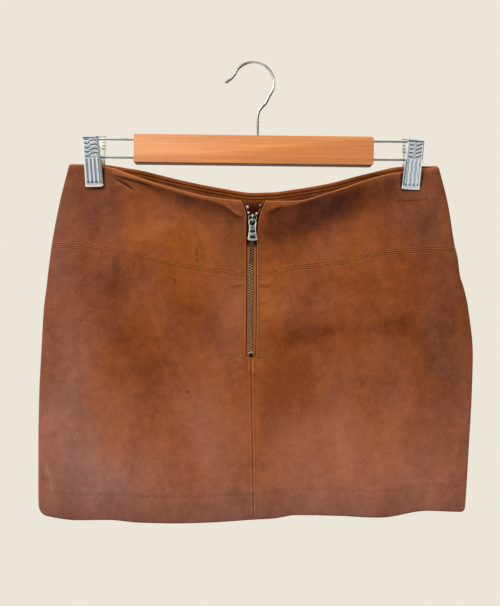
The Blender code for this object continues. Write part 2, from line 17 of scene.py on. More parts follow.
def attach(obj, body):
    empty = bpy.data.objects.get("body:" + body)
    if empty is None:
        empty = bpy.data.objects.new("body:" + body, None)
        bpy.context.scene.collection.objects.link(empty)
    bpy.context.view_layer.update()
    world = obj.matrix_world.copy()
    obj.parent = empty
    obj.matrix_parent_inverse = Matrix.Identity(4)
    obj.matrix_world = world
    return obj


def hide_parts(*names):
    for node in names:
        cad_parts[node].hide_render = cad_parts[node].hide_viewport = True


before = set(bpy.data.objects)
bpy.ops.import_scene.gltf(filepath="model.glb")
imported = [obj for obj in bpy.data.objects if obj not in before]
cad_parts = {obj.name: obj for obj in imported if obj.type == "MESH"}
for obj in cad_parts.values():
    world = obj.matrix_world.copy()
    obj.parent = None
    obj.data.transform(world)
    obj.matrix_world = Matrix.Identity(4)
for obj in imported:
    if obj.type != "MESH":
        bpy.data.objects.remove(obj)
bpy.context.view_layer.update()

MM = 0.001
FRONT, BACK = -1, 1
LEFT, RIGHT = -1, 1

# ---------------------------------------------------------------- the form's tables

CLOTH, FACING, TAPE, SEAM = 1.6, 1.1, 1.0, 0.3
SEAM_GAP = 0.02
SIDES = (
    # drop, left side, right side, front bulge, back bulge
    (104, -190, 196, 10.0, 6.0),
    (148, -201, 207, 14.5, 8.0),
    (191, -209, 214, 18.5, 10.0),
    (205, -210.9, 217.3, 19.2, 10.4),
    (222, -213, 219.4, 20.0, 11.0),
    (236, -214.5, 223.6, 20.5, 11.5),
    (255, -217, 227.8, 21.0, 12.0),
    (305, -220, 233, 22.0, 12.5),
    (345, -222, 232, 21.0, 12.5),
    (400, -223, 229, 19.0, 12.5),
    (450, -223, 226, 17.0, 12.0),
    (478, -222, 224, 16.0, 12.0),
)
SIDE_COLUMN, BULGE = {LEFT: 1, RIGHT: 2}, {FRONT: 3, BACK: 4}
ROUNDNESS = 0.6
HELD_DEPTH = {FRONT: 2.1, BACK: 3.1}
SIDE_ROUND = 3.5
EDGES = (
    # across, front waist, back waist, yoke seam, hem
    (0.00, 106, 105, 191, 472.4),
    (0.09, 108, 106, 194, 476.5),
    (0.18, 119, 110, 199, 475),
    (0.24, 127, 115, 205, 476.5),
    (0.30, 134, 120.5, 212, 476.5),
    (0.41, 144, 129, 219, 475.5),
    (0.50, 147, 134, 224, 473),
    (0.55, 147, 133.5, 220, 472),
    (0.60, 147, 131, 216, 469),
    (0.70, 137, 124.5, 211, 469.5),
    (0.80, 124, 115, 201, 471.5),
    (0.90, 114, 108, 197, 467),
    (1.00, 109, 107, 195, 470),
)
FRONT_WAIST, BACK_WAIST, YOKE_SEAM, HEM = 1, 2, 3, 4
BACK_HEM_RISE = 2.5
WAIST_CORNER = 1.8
HEM_CORNER = {LEFT: 10.0, RIGHT: 5.0}
ZIP = (
    # drop, centre line
    (144, 2.4), (150, 2.0), (158, 1.8), (165, 1.7), (170, 1.5), (198, 0.7),
    (224, 0.2), (269, -0.1), (302, -0.1), (314, 0.2), (390, 1.4), (478, 2.9),
)
OPENING = (
    # drop, left edge, right edge of the front at the zip
    (144, -11.2, 15.8),
    (147.4, -9.6, 14.9),
    (150, -7.8, 13.8),
    (157.5, -5.3, 10.3),
    (163.7, -4.4, 8.7),
    (171, -4.4, 7.2),
    (190, -4.6, 6.1),
    (224, -4.5, 6.1),
    (306, -5.2, 5.4),
)
OPENING_BOTTOM, OPENING_CORNER = 306.2, 1.6
ROLL_FORWARD, ROLL_EDGE = 1.0, 4.0
VALLEY_DEPTH, VALLEY_DROP, VALLEY_WIDTH = 0.8, 11.0, 5.0
STIFF_AT_ZIP, STIFF_FADE = 27.0, 10.0
HEM_TURN_UP = 27.0
STITCH_OFF = 1.85

HANGER_TILT = math.radians(0.5)
CLIP_X = {LEFT: -162.3, RIGHT: 168.2}
JAW_HALF, JAW_END = 11.5, 131.0

# ---------------------------------------------------------------- creases and colour

CREASES = {
    FRONT: (
        # points as x and drop, half width, depth, how much its lips stand up
        (((-141.5, 122.3), (-134, 126.3), (-127.5, 130.3), (-119.6, 135.5)), 1.0, 0.9, 0.5),
        (((-143, 118.6), (-134, 121.2), (-124, 124.3), (-113, 127.6), (-99, 131.6)), 1.1, 0.9, 0.3),
        (((-150, 141), (-140, 158), (-137, 176)), 4.5, 0.7, 0.3),
        (((-106, 245), (-98, 268), (-90, 288)), 3.0, 0.5, 0.4),
        (((-126, 301), (-131, 307), (-136, 312)), 1.3, 0.5, 0.4),
        (((-10, 234), (-16, 236), (-23, 235)), 1.5, 0.3, 0.5),
        (((-9, 246), (-15, 247)), 1.2, 0.4, 0.5),
        (((-8, 268), (-13, 270), (-20, 269)), 1.6, 0.4, 0.5),
        (((-9, 288), (-17, 291)), 1.4, 0.4, 0.5),
        (((9, 235), (15, 236), (24, 233)), 1.4, 0.35, 0.5),
        (((8, 252), (16, 253)), 1.3, 0.5, 0.5),
        (((9, 272), (14, 272), (22, 270)), 1.6, 0.5, 0.5),
        (((9, 184), (17, 183), (27, 179)), 2.0, 0.5, 0.4),
        (((8, 199), (18, 198)), 1.5, 0.4, 0.4),
        (((-9, 309), (-15, 307), (-21, 309)), 1.5, 0.6, 0.8),
        (((7, 311), (12, 316), (15, 322)), 1.5, 0.6, 0.7),
        (((-6, 330), (-22, 336), (-38, 337)), 2.2, 0.35, 0.4),
        (((9, 331), (24, 337), (38, 344)), 2.4, 0.4, 0.4),
        (((150, 146), (165, 145), (185, 143)), 1.3, 0.4, 0.4),
        (((158, 150), (172, 149)), 1.1, 0.3, 0.4),
        (((166, 136), (178, 150), (186, 170)), 5.0, 0.8, 0.3),
        (((-214, 417), (-209, 430), (-206, 441), (-206, 452)), 2.0, -0.6, 0.4),
        (((-219, 424), (-216, 440), (-214, 455)), 2.6, 0.8, 0.2),
        (((60, 273), (85, 279), (112, 276)), 4.5, 0.5, 0.3),
        (((128, 276), (150, 272), (168, 276)), 4.0, 0.5, 0.3),
        (((-152, 228), (-140, 238), (-120, 241)), 4.0, 0.5, 0.3),
        (((-57, 300), (-50, 322), (-33, 338)), 5.0, 0.5, 0.3),
    ),
    BACK: (
        (((146, 121), (134, 128), (118, 139)), 1.9, 1.0, 0.5),
        (((-150, 122), (-138, 131), (-127, 137)), 1.7, 0.9, 0.5),
        (((-160, 137), (-150, 155), (-147, 180)), 4.5, 0.8, 0.3),
        (((166, 138), (158, 158), (160, 178)), 5.0, 0.7, 0.3),
        (((-60, 150), (-20, 155), (22, 152)), 4.0, 0.6, 0.3),
        (((70, 246), (98, 260), (104, 281)), 3.5, 0.6, 0.4),
        (((-112, 262), (-90, 270), (-70, 268)), 3.0, 0.5, 0.4),
        (((-30, 300), (-16, 330), (-12, 362)), 5.0, 0.6, 0.3),
        (((130, 330), (141, 352), (143, 380)), 4.0, 0.5, 0.4),
        (((-180, 330), (-170, 362), (-172, 395)), 5.0, 0.7, 0.3),
        (((36, 384), (60, 392), (88, 389)), 3.0, 0.4, 0.4),
        (((-120, 420), (-100, 430), (-84, 428)), 3.0, 0.4, 0.4),
    ),
}
WAVES = {
    FRONT: (
        # x, drop, half width, half height, how far it stands forward
        (-80, 470, 42, 95, 2.0),
        (48, 478, 34, 80, -2.0),
        (122, 474, 28, 80, 1.6),
        (176, 470, 22, 70, -1.6),
        (-168, 476, 26, 80, -1.2),
        (-162, 190, 17, 60, -1.6),
        (-120, 205, 22, 60, 1.2),
        (172, 205, 18, 70, -1.6),
        (132, 200, 24, 60, 1.0),
        (-186, 300, 18, 90, 0.8),
        (196, 330, 14, 70, -1.0),
        (60, 180, 30, 24, 0.8),
        (-70, 190, 34, 22, 0.9),
    ),
    BACK: (
        (70, 470, 40, 95, 1.6),
        (-40, 474, 36, 90, -1.6),
        (-120, 470, 30, 80, 1.4),
        (160, 474, 26, 80, -1.4),
        (165, 190, 18, 60, -1.5),
        (-160, 195, 18, 60, -1.4),
        (0, 200, 50, 40, 0.8),
        (110, 290, 26, 70, 0.8),
        (-120, 320, 30, 80, -0.8),
    ),
}
BASE_COLOUR = (
    # drop, tone, warmth
    (104, -0.15, 0.85),
    (200, -0.05, 0.92),
    (315, 0.0, 0.90),
    (370, 0.15, 0.75),
    (420, 0.22, 0.65),
    (452, 0.08, 0.55),
    (478, -0.14, 0.42),
)
PATCHES = {
    FRONT: (
        # x, drop, half width, half height, turn in degrees, tone, warmth
        # tone is the suede's own mottling with painted shade and light by folds and clips; warmth its own hue
        # shift with a painted tint of light
        (-195, 250, 34, 160, 0, 0.0, -0.30),
        (-153, 162, 24, 40, 0, -0.30, -0.10),
        (-150, 233, 36, 24, -15, -0.35, -0.05),
        (-184, 340, 34, 70, 0, 0.10, -0.15),
        (-38, 213, 50, 55, 0, 0.12, 0.05),
        (34, 218, 34, 50, 0, 0.05, 0.05),
        (-98, 172, 34, 18, -25, 0.32, 0.0),
        (50, 284, 46, 14, -4, -0.25, 0.05),
        (20, 172, 14, 22, 0, -0.30, 0.0),
        (-57, 274, 28, 30, 20, -0.20, -0.05),
        (26, 350, 20, 42, 12, -0.35, 0.05),
        (-102, 330, 24, 46, 0, -0.20, 0.05),
        (-164, 432, 62, 36, 0, 0.02, -0.25),
        (132, 422, 62, 42, 0, 0.08, -0.05),
        (192, 248, 26, 70, 0, -0.20, -0.10),
        (152, 274, 26, 13, 6, -0.30, 0.05),
        (178, 162, 22, 36, 0, -0.20, -0.15),
        (96, 208, 36, 40, 0, 0.16, 0.0),
        (-36, 391, 42, 50, 0, 0.10, -0.05),
        (82, 391, 52, 40, 0, 0.12, 0.0),
        (-77, 412, 20, 30, 0, -0.16, 0.0),
        (208, 350, 18, 90, 0, -0.14, -0.10),
        (-20, 250, 18, 36, 0, 0.20, 0.0),
        (14, 250, 20, 30, 0, 0.16, 0.0),
        (-140, 290, 30, 22, 0, -0.12, 0.05),
        (-10, 455, 60, 14, 0, -0.05, -0.10),
        # painted shade: the shadows under the rolled waist on both sides of the zip
        (90, 150, 46, 15, -20, -0.95, 0.0),
        (52, 174, 38, 15, -14, -0.45, 0.0),
        (-56, 152, 36, 12, 18, -0.35, 0.0),
    ),
    BACK: (
        (-195, 250, 34, 170, 0, 0.0, -0.25),
        (200, 290, 34, 170, 0, -0.05, -0.25),
        (0, 190, 60, 40, 0, 0.22, 0.05),
        (-80, 250, 40, 24, 20, -0.35, 0.0),
        (90, 290, 46, 22, -18, -0.35, 0.05),
        (40, 380, 50, 36, 0, 0.20, -0.10),
        (-110, 400, 46, 40, 0, -0.18, 0.0),
        (150, 190, 24, 40, 0, -0.30, -0.12),
        (-155, 185, 24, 40, 0, -0.30, -0.12),
        (120, 430, 60, 30, 0, 0.04, -0.20),
        (-60, 450, 60, 26, 0, 0.05, -0.15),
        (-20, 300, 30, 50, 10, -0.16, 0.0),
        (0, 250, 30, 20, 0, 0.25, 0.05),
        (-150, 330, 30, 30, 0, 0.22, 0.0),
    ),
}
BANDS = {
    FRONT: (
        # points as x and drop, half width, tone, warmth
        # painted shadows hugging the two clips' jaws
        (((-154.5, 107), (-154.1, 130.5), (-156.5, 131.9), (-172, 132.1)), 1.2, -1.3, 0.0),
        (((158.6, 106), (158.0, 130.5), (160.5, 132.8), (174.5, 133)), 1.2, -1.3, 0.0),
        (((177.6, 132), (179, 120), (180, 110)), 1.2, -0.7, 0.0),
        # painted shade below the right clip and along the broad crease across the front
        (((172, 158), (177, 178), (181, 197)), 5.0, -0.12, -0.12),
        (((40, 292), (58, 286), (76, 281), (96, 276.5), (120, 278), (146, 282), (170, 287)), 6.0, -0.13, 0.0),
        # painted highlights and shade on the puckers and seam ridges at the foot of the zip's opening
        (((-9.8, 304.3), (-11.2, 305)), 1.0, 0.9, 0.0),
        (((5.6, 306), (9.4, 307.6)), 0.9, -0.7, 0.0),
        (((-1.6, 309), (-1.9, 320)), 0.8, 0.5, 0.0),
        (((2.0, 309), (2.2, 322)), 0.8, 0.5, 0.0),
        (((-55, 196), (-55, 204)), 0.9, -0.70, 0.0),
        (((-55, 206), (-54, 210)), 1.0, -0.40, 0.0),
        (((-77, 226), (-77, 233)), 0.9, -0.50, 0.0),
        # painted shade in the crease by the left clip, a painted highlight on its lower lip, and the painted
        # shadow line under the waist's roll
        (((-141.5, 122.3), (-134, 126.3), (-127.5, 130.3), (-119.6, 135.5)), 0.8, -0.95, 0.0),
        (((-141, 124.9), (-134, 128.9), (-127.5, 132.9), (-121, 137.2)), 1.0, 0.35, 0.0),
        (((-143, 119), (-134, 121.6), (-124, 124.7), (-113, 128), (-99, 132)), 0.9, -0.80, 0.0),
        # a lighter line along a crease and the left hem corner's pale fold line, and painted shade in the
        # crease beside them
        (((-106, 245), (-98, 268), (-90, 288)), 2.6, 0.20, 0.0),
        (((-214, 417), (-209, 430), (-206, 441), (-206, 452)), 2.0, 0.15, -0.1),
        (((-219, 424), (-216, 440)), 2.4, -0.30, 0.0),
        # painted shade and highlights on the puckers beside the zip and at its foot, and painted shade in the
        # crease by the right clip
        (((-8, 235), (-12, 234), (-19, 236)), 1.0, -0.32, 0.0),
        (((-7, 231), (-16, 232)), 1.0, 0.30, 0.0),
        (((8, 234), (14, 235.5), (21, 233)), 1.0, -0.38, 0.0),
        (((8, 231), (18, 231)), 1.0, 0.25, 0.0),
        (((8, 252), (14, 253)), 1.3, -0.35, 0.0),
        (((150, 146), (185, 143)), 0.9, -0.30, 0.0),
        (((-9, 309), (-15, 307)), 1.8, 0.45, 0.0),
        (((6, 312), (10, 315)), 2.0, 0.35, 0.0),
    ),
    BACK: (
        (((-145, 121), (-110, 128), (-60, 140), (0, 145), (60, 140), (110, 127), (145, 120)), 7.0, -0.40, 0.0),
    ),
}
SPECK_X, SPECK_DROP, SPECK_RADIUS = -63.9, 341.3, 1.3
FOLD = {
    # x, drop of the shadow's upper edge under the rolled waist, strength, reach
    LEFT: ((-142, 118.6, 0.4, 1.5), (-134, 121, 0.6, 1.8), (-124, 123.8, 0.8, 2.0), (-113, 126.9, 0.85, 2.6),
           (-98, 131.8, 0.8, 4.0), (-84, 135.4, 0.6, 7.0), (-62, 142.5, 0.6, 9.0), (-40, 147.6, 0.6, 9.0),
           (-25, 153.7, 0.75, 8.0), (-15, 161.4, 1.0, 4.5), (-9, 163.6, 0.9, 3.0)),
    RIGHT: ((16, 160, 0.6, 4.0), (27, 154.5, 0.6, 6.0), (43, 152, 0.5, 6.0), (60, 147.3, 0.6, 4.0),
            (71, 143, 0.7, 2.5), (91, 135, 0.7, 2.0), (110, 128.5, 0.6, 2.0), (128, 123.5, 0.45, 1.5)),
}

# Ridges across the seams and edges, each with its place from the line, half width and height
SEAM_RIDGES = ((0.9, 0.6, 0.34), (STITCH_OFF, 0.4, -0.36), (2.9, 0.8, 0.16), (0.0, 0.3, -0.15))
HEM_RIDGES = ((HEM_TURN_UP, 1.3, -0.3), (0.0, 2.0, -0.5))
CENTRE_SEAM_RIDGES = ((1.7, 0.9, 0.35), (3.4, 0.8, -0.25))
ZIP_EDGE_RIDGES = ((1.0, 0.9, 0.25), (2.7, 0.5, -0.12))
HEM_SWELL, HEM_SWELL_REACH = 0.35, 2.5
SEAM_START, ZIP_EDGE_END = 4, 2
# The same for painted light and shade: painted highlights on ridges, roll and rims, painted shade in grooves
# and at the hem's edge
SEAM_LIGHT_AND_SHADE = ((0.95, 0.5, 0.48), (0.0, 0.35, -0.42), (2.8, 0.6, 0.16))
HEM_SHADE = ((HEM_TURN_UP, 1.4, -0.10), (0.0, 1.5, -0.25))
WAIST_ROLL_HIGHLIGHT, WAIST_EDGE_HIGHLIGHT = ((2.5, 2.5, 0.25),), ((0.0, 1.3, 0.75),)
CENTRE_SEAM_SHADE, CENTRE_RIDGE_HIGHLIGHT = ((0.0, 0.5, -0.45), (3.2, 0.7, -0.06)), {LEFT: 0.10, RIGHT: 0.26}
ZIP_STITCH_SHADE, ZIP_EDGE_HIGHLIGHT = ((2.7, 0.5, -0.07),), ((0.0, 0.8, 0.55),)
SPECK_TONE = -1.2

# ---------------------------------------------------------------- numbers


def mix(start, end, share):
    return start + (end - start) * share


def bell(distance, width):
    return np.exp(-(distance / width) ** 2)


def ridges(off, rows):
    """Soft ridges across a line, each with its place, half width and height."""
    return sum(height * bell(off - place, width) for place, width, height in rows)


def fade_in(past, reach):
    """0 up to a place, 1 from a reach past it, and straight between the two."""
    return np.clip(past / reach, 0, 1)


def smooth(rows, column, at):
    """A table column's values at places along its first column, with no overshoot."""
    table = np.asarray(rows, float)
    places, values = table[:, 0], table[:, column]
    at = np.clip(np.asarray(at, float), places[0], places[-1])
    index = np.clip(np.searchsorted(places, at, side="right") - 1, 0, len(places) - 2)
    slopes = np.diff(values) / np.diff(places)
    before, after = slopes[:-1], slopes[1:]
    total = np.where(before * after > 0, before + after, 1.0)
    middle = np.where(before * after > 0, 2 * before * after / total, 0.0)
    tangents = np.concatenate([slopes[:1], middle, slopes[-1:]])
    width = places[index + 1] - places[index]
    t = (at - places[index]) / width
    rise = values[index + 1] - values[index]
    start, end = tangents[index] * width, tangents[index + 1] * width
    return values[index] + t * start + t * t * (3 * rise - 2 * start - end) + t ** 3 * (start + end - 2 * rise)


def rounded(distance, radius):
    inside = np.maximum(0.0, radius - distance)
    return radius - np.sqrt(np.maximum(0.0, radius * radius - inside * inside))


def near_line(points, x, drop):
    """Distance from a line through points, and a factor that fades out at its ends."""
    places = np.asarray(points, float)
    steps = np.hypot(*np.diff(places, axis=0).T)
    passed = np.concatenate([[0.0], np.cumsum(steps)])
    nearest, share = np.full(np.shape(x), 1e9), np.zeros(np.shape(x))
    for (x0, z0), (x1, z1), step, start in zip(places[:-1], places[1:], steps, passed):
        t = ((x - x0) * (x1 - x0) + (drop - z0) * (z1 - z0)) / (step * step)
        t = np.clip(t, 0.0, 1.0)
        distance = np.hypot(x - x0 - t * (x1 - x0), drop - z0 - t * (z1 - z0))
        closer = distance < nearest
        nearest = np.where(closer, distance, nearest)
        share = np.where(closer, (start + t * step) / passed[-1], share)
    fade = np.clip(np.minimum(share, 1 - share) * 4, 0, 1)
    return nearest, 0.25 + 0.75 * fade * fade * (3 - 2 * fade)


# ---------------------------------------------------------------- the skirt's form


def side_lines(drop):
    """x of the left and the right side seam."""
    return smooth(SIDES, 1, drop), smooth(SIDES, 2, drop)


def zip_line(drop):
    """x of the zip's centre line, which goes on as the centre-front seam."""
    return smooth(ZIP, 1, drop)


def pinch(x, drop):
    """How firmly the two clips hold the cloth flat, from 0 to 1."""
    below = np.maximum(0.0, drop - JAW_END)
    reach = 12.0 + 0.5 * below
    fade = bell(below, 50.0)
    held = 0.0
    for side in (LEFT, RIGHT):
        jaw = CLIP_X[side] - drop * math.sin(HANGER_TILT)
        held = held + fade * bell(np.maximum(0.0, np.abs(x - jaw) - JAW_HALF), reach)
    return np.minimum(1.0, held)


def edge_drop(side, line, across):
    drop = smooth(EDGES, line, across)
    width = smooth(SIDES, 2, drop) - smooth(SIDES, 1, drop)
    from_left, from_right = across * width, (1 - across) * width
    if line in (FRONT_WAIST, BACK_WAIST):
        drop = drop + rounded(from_left, WAIST_CORNER) + rounded(from_right, WAIST_CORNER)
    if line == HEM:
        drop = drop - rounded(from_left, HEM_CORNER[LEFT]) - rounded(from_right, HEM_CORNER[RIGHT])
        if side == BACK:
            drop = drop - BACK_HEM_RISE * fade_in(np.minimum(from_left, from_right), 30)
    if line == YOKE_SEAM and side == BACK:
        drop = drop - smooth(EDGES, FRONT_WAIST, across) + smooth(EDGES, BACK_WAIST, across)
    return drop


def across_at(x, drop):
    left, right = side_lines(drop)
    return (x - left) / (right - left)


def opening_edge(half, drop):
    """x of the front's edge at the zip, and of the centre-front seam below it."""
    corner = rounded(np.maximum(0.0, OPENING_BOTTOM - drop), OPENING_CORNER)
    edge = smooth(OPENING, SIDE_COLUMN[half], drop) - half * corner
    return np.where(drop < OPENING_BOTTOM, edge, zip_line(drop) + half * SEAM_GAP / 2)


def beside_zip(x, drop):
    """Distance from the front's edges at the zip, outward."""
    left, right = smooth(OPENING, 1, drop), smooth(OPENING, 2, drop)
    return np.where(x < zip_line(drop), left - x, x - right)


def relief(side, x, drop, across):
    """What the fine cloth adds to the plain form, outward in mm."""
    seam = drop - edge_drop(side, YOKE_SEAM, across)
    hem = edge_drop(side, HEM, across) - drop
    height = ridges(np.abs(seam), SEAM_RIDGES) + ridges(hem, HEM_RIDGES)
    height = height + HEM_SWELL * fade_in(HEM_TURN_UP - hem, HEM_SWELL_REACH)
    for points, width, depth, lips in CREASES[side]:
        distance, fade = near_line(points, x, drop)
        height = height - depth * fade * (bell(distance, width) - lips * bell(distance - 2 * width, width))
    for wave_x, wave_drop, half_width, half_height, forward in WAVES[side]:
        height = height + forward * bell(x - wave_x, half_width) * bell(drop - wave_drop, half_height)
    if side == FRONT:
        under = fade_in(drop - OPENING_BOTTOM, SEAM_START)
        by_zip = fade_in(OPENING_BOTTOM + 1 - drop, ZIP_EDGE_END)
        height = height + under * ridges(np.abs(x - zip_line(drop)), CENTRE_SEAM_RIDGES)
        height = height + by_zip * ridges(beside_zip(x, drop), ZIP_EDGE_RIDGES) + folded(x, drop)[0]
    return height


def folded(x, drop):
    """The rolled waist's swell and hollow, and their painted highlight and painted shadow."""
    height, tone = 0.0, 0.0
    for rows in FOLD.values():
        ends = fade_in(np.minimum(x - rows[0][0] + 3, rows[-1][0] + 3 - x), 5)
        past = drop - smooth(rows, 1, x)
        strength, reach = ends * smooth(rows, 2, x), smooth(rows, 3, x)
        hollow = np.clip(past / 1.4 + 0.5, 0, 1) * np.exp(-np.maximum(0.0, past) / reach)
        swell = bell(past + 2.4, 2.2)
        height = height + strength * (0.5 * swell - 0.8 * hollow)
        tone = tone + strength * (0.32 * swell - 1.0 * hollow)
    return height, tone


def waist_roll(x, drop, across):
    below = drop - edge_drop(FRONT, FRONT_WAIST, across)
    off_zip = np.maximum(0.0, np.abs(x - zip_line(drop)) - STIFF_AT_ZIP)
    free = 1 - bell(off_zip, STIFF_FADE)
    roll = ROLL_FORWARD * bell(below, ROLL_EDGE) - VALLEY_DEPTH * bell(below - VALLEY_DROP, VALLEY_WIDTH)
    held_valley = 0.6 * bell(below - VALLEY_DROP - 2, 6) * (1 - free * 0.4)
    return roll * free + 0.5 * bell(below - 1.2, 1.6) - held_valley


def depth_at(side, x, drop, fine=1.0):
    """Distance of the cloth's outer face from the middle plane."""
    across = across_at(x, drop)
    roundness = np.maximum(0.0, 1 - (2 * across - 1) ** 2) ** ROUNDNESS
    held = pinch(x, drop)
    loose = roundness * (1 - held)
    depth = HELD_DEPTH[side] + smooth(SIDES, BULGE[side], drop) * loose
    if side == FRONT:
        depth = depth + waist_roll(x, drop, across) * loose
    in_jaw = np.maximum(0.0, held - 0.8) * 5 * (drop < JAW_END + 3)
    depth = depth + fine * relief(side, x, drop, across) * (1 - 0.9 * np.clip(in_jaw, 0, 1)) * (1 - 0.6 * held)
    left, right = side_lines(drop)
    from_side = np.clip(np.minimum(x - left, right - x), 0, SIDE_ROUND)
    wrap = np.sqrt(np.maximum(0.0, 1 - (1 - from_side / SIDE_ROUND) ** 2))
    return mix(SEAM / 2, depth, wrap)


def outer_face(side, x, drop, fine=1.0):
    depth = depth_at(side, x, drop, fine)
    return np.stack([x, side * depth, -drop], axis=-1)


# ---------------------------------------------------------------- grids


def round_end(radius, steps=4):
    return [radius * (1 - math.cos(math.pi / 2 * i / steps)) for i in range(steps + 1)]


def wall(place, reach):
    """How much of its thickness the cloth has near an edge that is rounded over a reach."""
    return 1.0 if place >= reach else math.sqrt(1 - (1 - place / reach) ** 2)


def lines(start, count, end):
    """Grid lines between two edges, each given as the reach of its rounding and the
    places of the lines near it.  A line has its share of the way, the mm that it lies
    past it, and how much of its thickness the cloth has there."""
    (start_reach, near_start), (end_reach, near_end) = start, end
    near, far = near_start[-1], near_end[-1]
    rows = [(0.0, place, wall(place, start_reach)) for place in near_start]
    for i in range(1, count + 1):
        share = i / (count + 1)
        rows.append((share, mix(near, -far, share), 1.0))
    rows += [(1.0, -place, wall(place, end_reach)) for place in reversed(near_end)]
    return np.array(rows)


def laid(start, end, grid, sign):
    return start + (end - start) * grid[:, 0] + sign * grid[:, 1]


def front_grid(half, top, bottom, top_shift, bottom_shift, rows, columns):
    """x and drop over a front piece on one side of the zip, left to right."""
    across = np.full((len(rows), len(columns)), 0.25 if half == LEFT else 0.75)
    for _ in range(8):
        over = edge_drop(FRONT, top, across) + top_shift
        under = edge_drop(FRONT, bottom, across) + bottom_shift
        drop = over + (under - over) * rows[:, :1] + rows[:, 1:2]
        side = smooth(SIDES, SIDE_COLUMN[half], drop)
        x = laid(side, opening_edge(half, drop), columns, -half)
        across = np.clip(across_at(x, drop), 0, 1)
    return (x, drop) if half == LEFT else (x[:, ::-1], drop[:, ::-1])


def back_grid(top, bottom, top_shift, bottom_shift, rows, columns):
    across = np.full((len(rows), len(columns)), 0.5)
    for _ in range(8):
        over = edge_drop(BACK, top, across) + top_shift
        under = edge_drop(BACK, bottom, across) + bottom_shift
        drop = over + (under - over) * rows[:, :1] + rows[:, 1:2]
        x = laid(*side_lines(drop), columns, 1)
        across = np.clip(across_at(x, drop), 0, 1)
    return x, drop


def normals_of(points):
    """Unit normals of a grid of points, facing out where columns run left to right on
    the front."""
    along = np.gradient(points, axis=1)
    down = np.gradient(points, axis=0)
    normal = np.cross(down, along)
    return normal / np.maximum(np.linalg.norm(normal, axis=-1, keepdims=True), 1e-12)


# ---------------------------------------------------------------- objects


def add_piece(name, mesh, material, slot=None, body="skirt", replaces=()):
    piece = bpy.data.objects.new(name, mesh)
    bpy.context.scene.collection.objects.link(piece)
    mesh.materials.clear()
    mesh.materials.append(material)
    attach(piece, body)
    if replaces:
        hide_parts(*replaces)
    return piece


def mesh_from(name, points, faces, values=None):
    mesh = bpy.data.meshes.new(name)
    mesh.from_pydata([tuple(point) for point in np.asarray(points) * MM], [], faces)
    for key, numbers in (values or {}).items():
        attribute = mesh.attributes.new(key, "FLOAT", "POINT")
        attribute.data.foreach_set("value", np.asarray(numbers, np.float32))
    mesh.shade_smooth()
    return mesh


def grid_faces(count_rows, count_columns, number):
    faces = []
    for i in range(count_rows - 1):
        for j in range(count_columns - 1):
            faces.append((number[i, j], number[i + 1, j], number[i + 1, j + 1], number[i, j + 1]))
    return faces


def shell(name, outer, thickness, share, values, out=FRONT, inside=0.0):
    """A closed cloth wall from the grid of its outer face.  share is how much of the
    thickness each point has: the two faces meet where it is 0, round the edge.  inside
    is what the inner face's tone differs by."""
    normal = normals_of(outer) * (1 if out == FRONT else -1)
    middle = outer - normal * thickness / 2
    half = (share * thickness / 2)[..., None]
    face, back = middle + normal * half, middle - normal * half
    rows, columns = share.shape
    number = np.arange(rows * columns).reshape(rows, columns)
    inner = np.full((rows, columns), -1)
    inner[1:-1, 1:-1] = rows * columns + np.arange((rows - 2) * (columns - 2)).reshape(rows - 2, columns - 2)
    inner = np.where(inner < 0, number, inner)
    points = np.concatenate([face.reshape(-1, 3), back[1:-1, 1:-1].reshape(-1, 3)])
    front_faces = grid_faces(rows, columns, number)
    back_faces = [tuple(reversed(quad)) for quad in grid_faces(rows, columns, inner)]
    faces = front_faces + back_faces
    if out == BACK:
        faces = [tuple(reversed(quad)) for quad in faces]
    faces = [tuple(int(i) for i in quad) for quad in faces]
    both = {}
    for key, numbers in values.items():
        numbers = np.broadcast_to(numbers, share.shape)
        within = numbers[1:-1, 1:-1] + (inside if key == "tone" else 0.0)
        both[key] = np.concatenate([numbers.reshape(-1), within.reshape(-1)])
    return mesh_from(name, points, faces, both)


def tube(points, radius, sides=10, closed=False):
    """Points and faces of a round wire along a line, with rounded ends."""
    line = np.asarray(points, float)
    ahead = np.roll(line, -1, axis=0) - np.roll(line, 1, axis=0)
    if not closed:
        ahead[0], ahead[-1] = line[1] - line[0], line[-1] - line[-2]
    ahead /= np.linalg.norm(ahead, axis=1, keepdims=True)
    side = np.cross(ahead[0], [0.0, 1.0, 0.0])
    if np.linalg.norm(side) < 0.1:
        side = np.cross(ahead[0], [1.0, 0.0, 0.0])
    aside = []
    for direction in ahead:
        side = side - direction * np.dot(side, direction)
        side = side / np.linalg.norm(side)
        aside.append(side)
    steps = [(i, 0.0, 1.0) for i in range(len(line))]
    if not closed:
        cap = [(math.sin(turn), math.cos(turn)) for turn in (math.pi / 3, math.pi / 6)]
        steps = [(0, -a, b) for a, b in cap] + steps + [(len(line) - 1, a, b) for a, b in reversed(cap)]
    rings = []
    for index, forward, wide in steps:
        up = np.cross(ahead[index], aside[index])
        centre = line[index] + ahead[index] * radius * forward
        for k in range(sides):
            turn = 2 * math.pi * k / sides
            rings.append(centre + radius * wide * (aside[index] * math.cos(turn) + up * math.sin(turn)))
    total = len(steps)
    faces = []
    for i in range(total if closed else total - 1):
        here, after = i * sides, (i + 1) % total * sides
        for k in range(sides):
            beside = (k + 1) % sides
            faces.append((here + k, here + beside, after + beside, after + k))
    if not closed:
        faces.append(tuple(reversed(range(sides))))
        faces.append(tuple(range((total - 1) * sides, total * sides)))
    return rings, faces


def joined(shapes):
    """One list of points and one of faces from several."""
    points, faces = [], []
    for some_points, some_faces in shapes:
        start = len(points)
        points += [tuple(point) for point in some_points]
        faces += [tuple(start + i for i in face) for face in some_faces]
    return points, faces


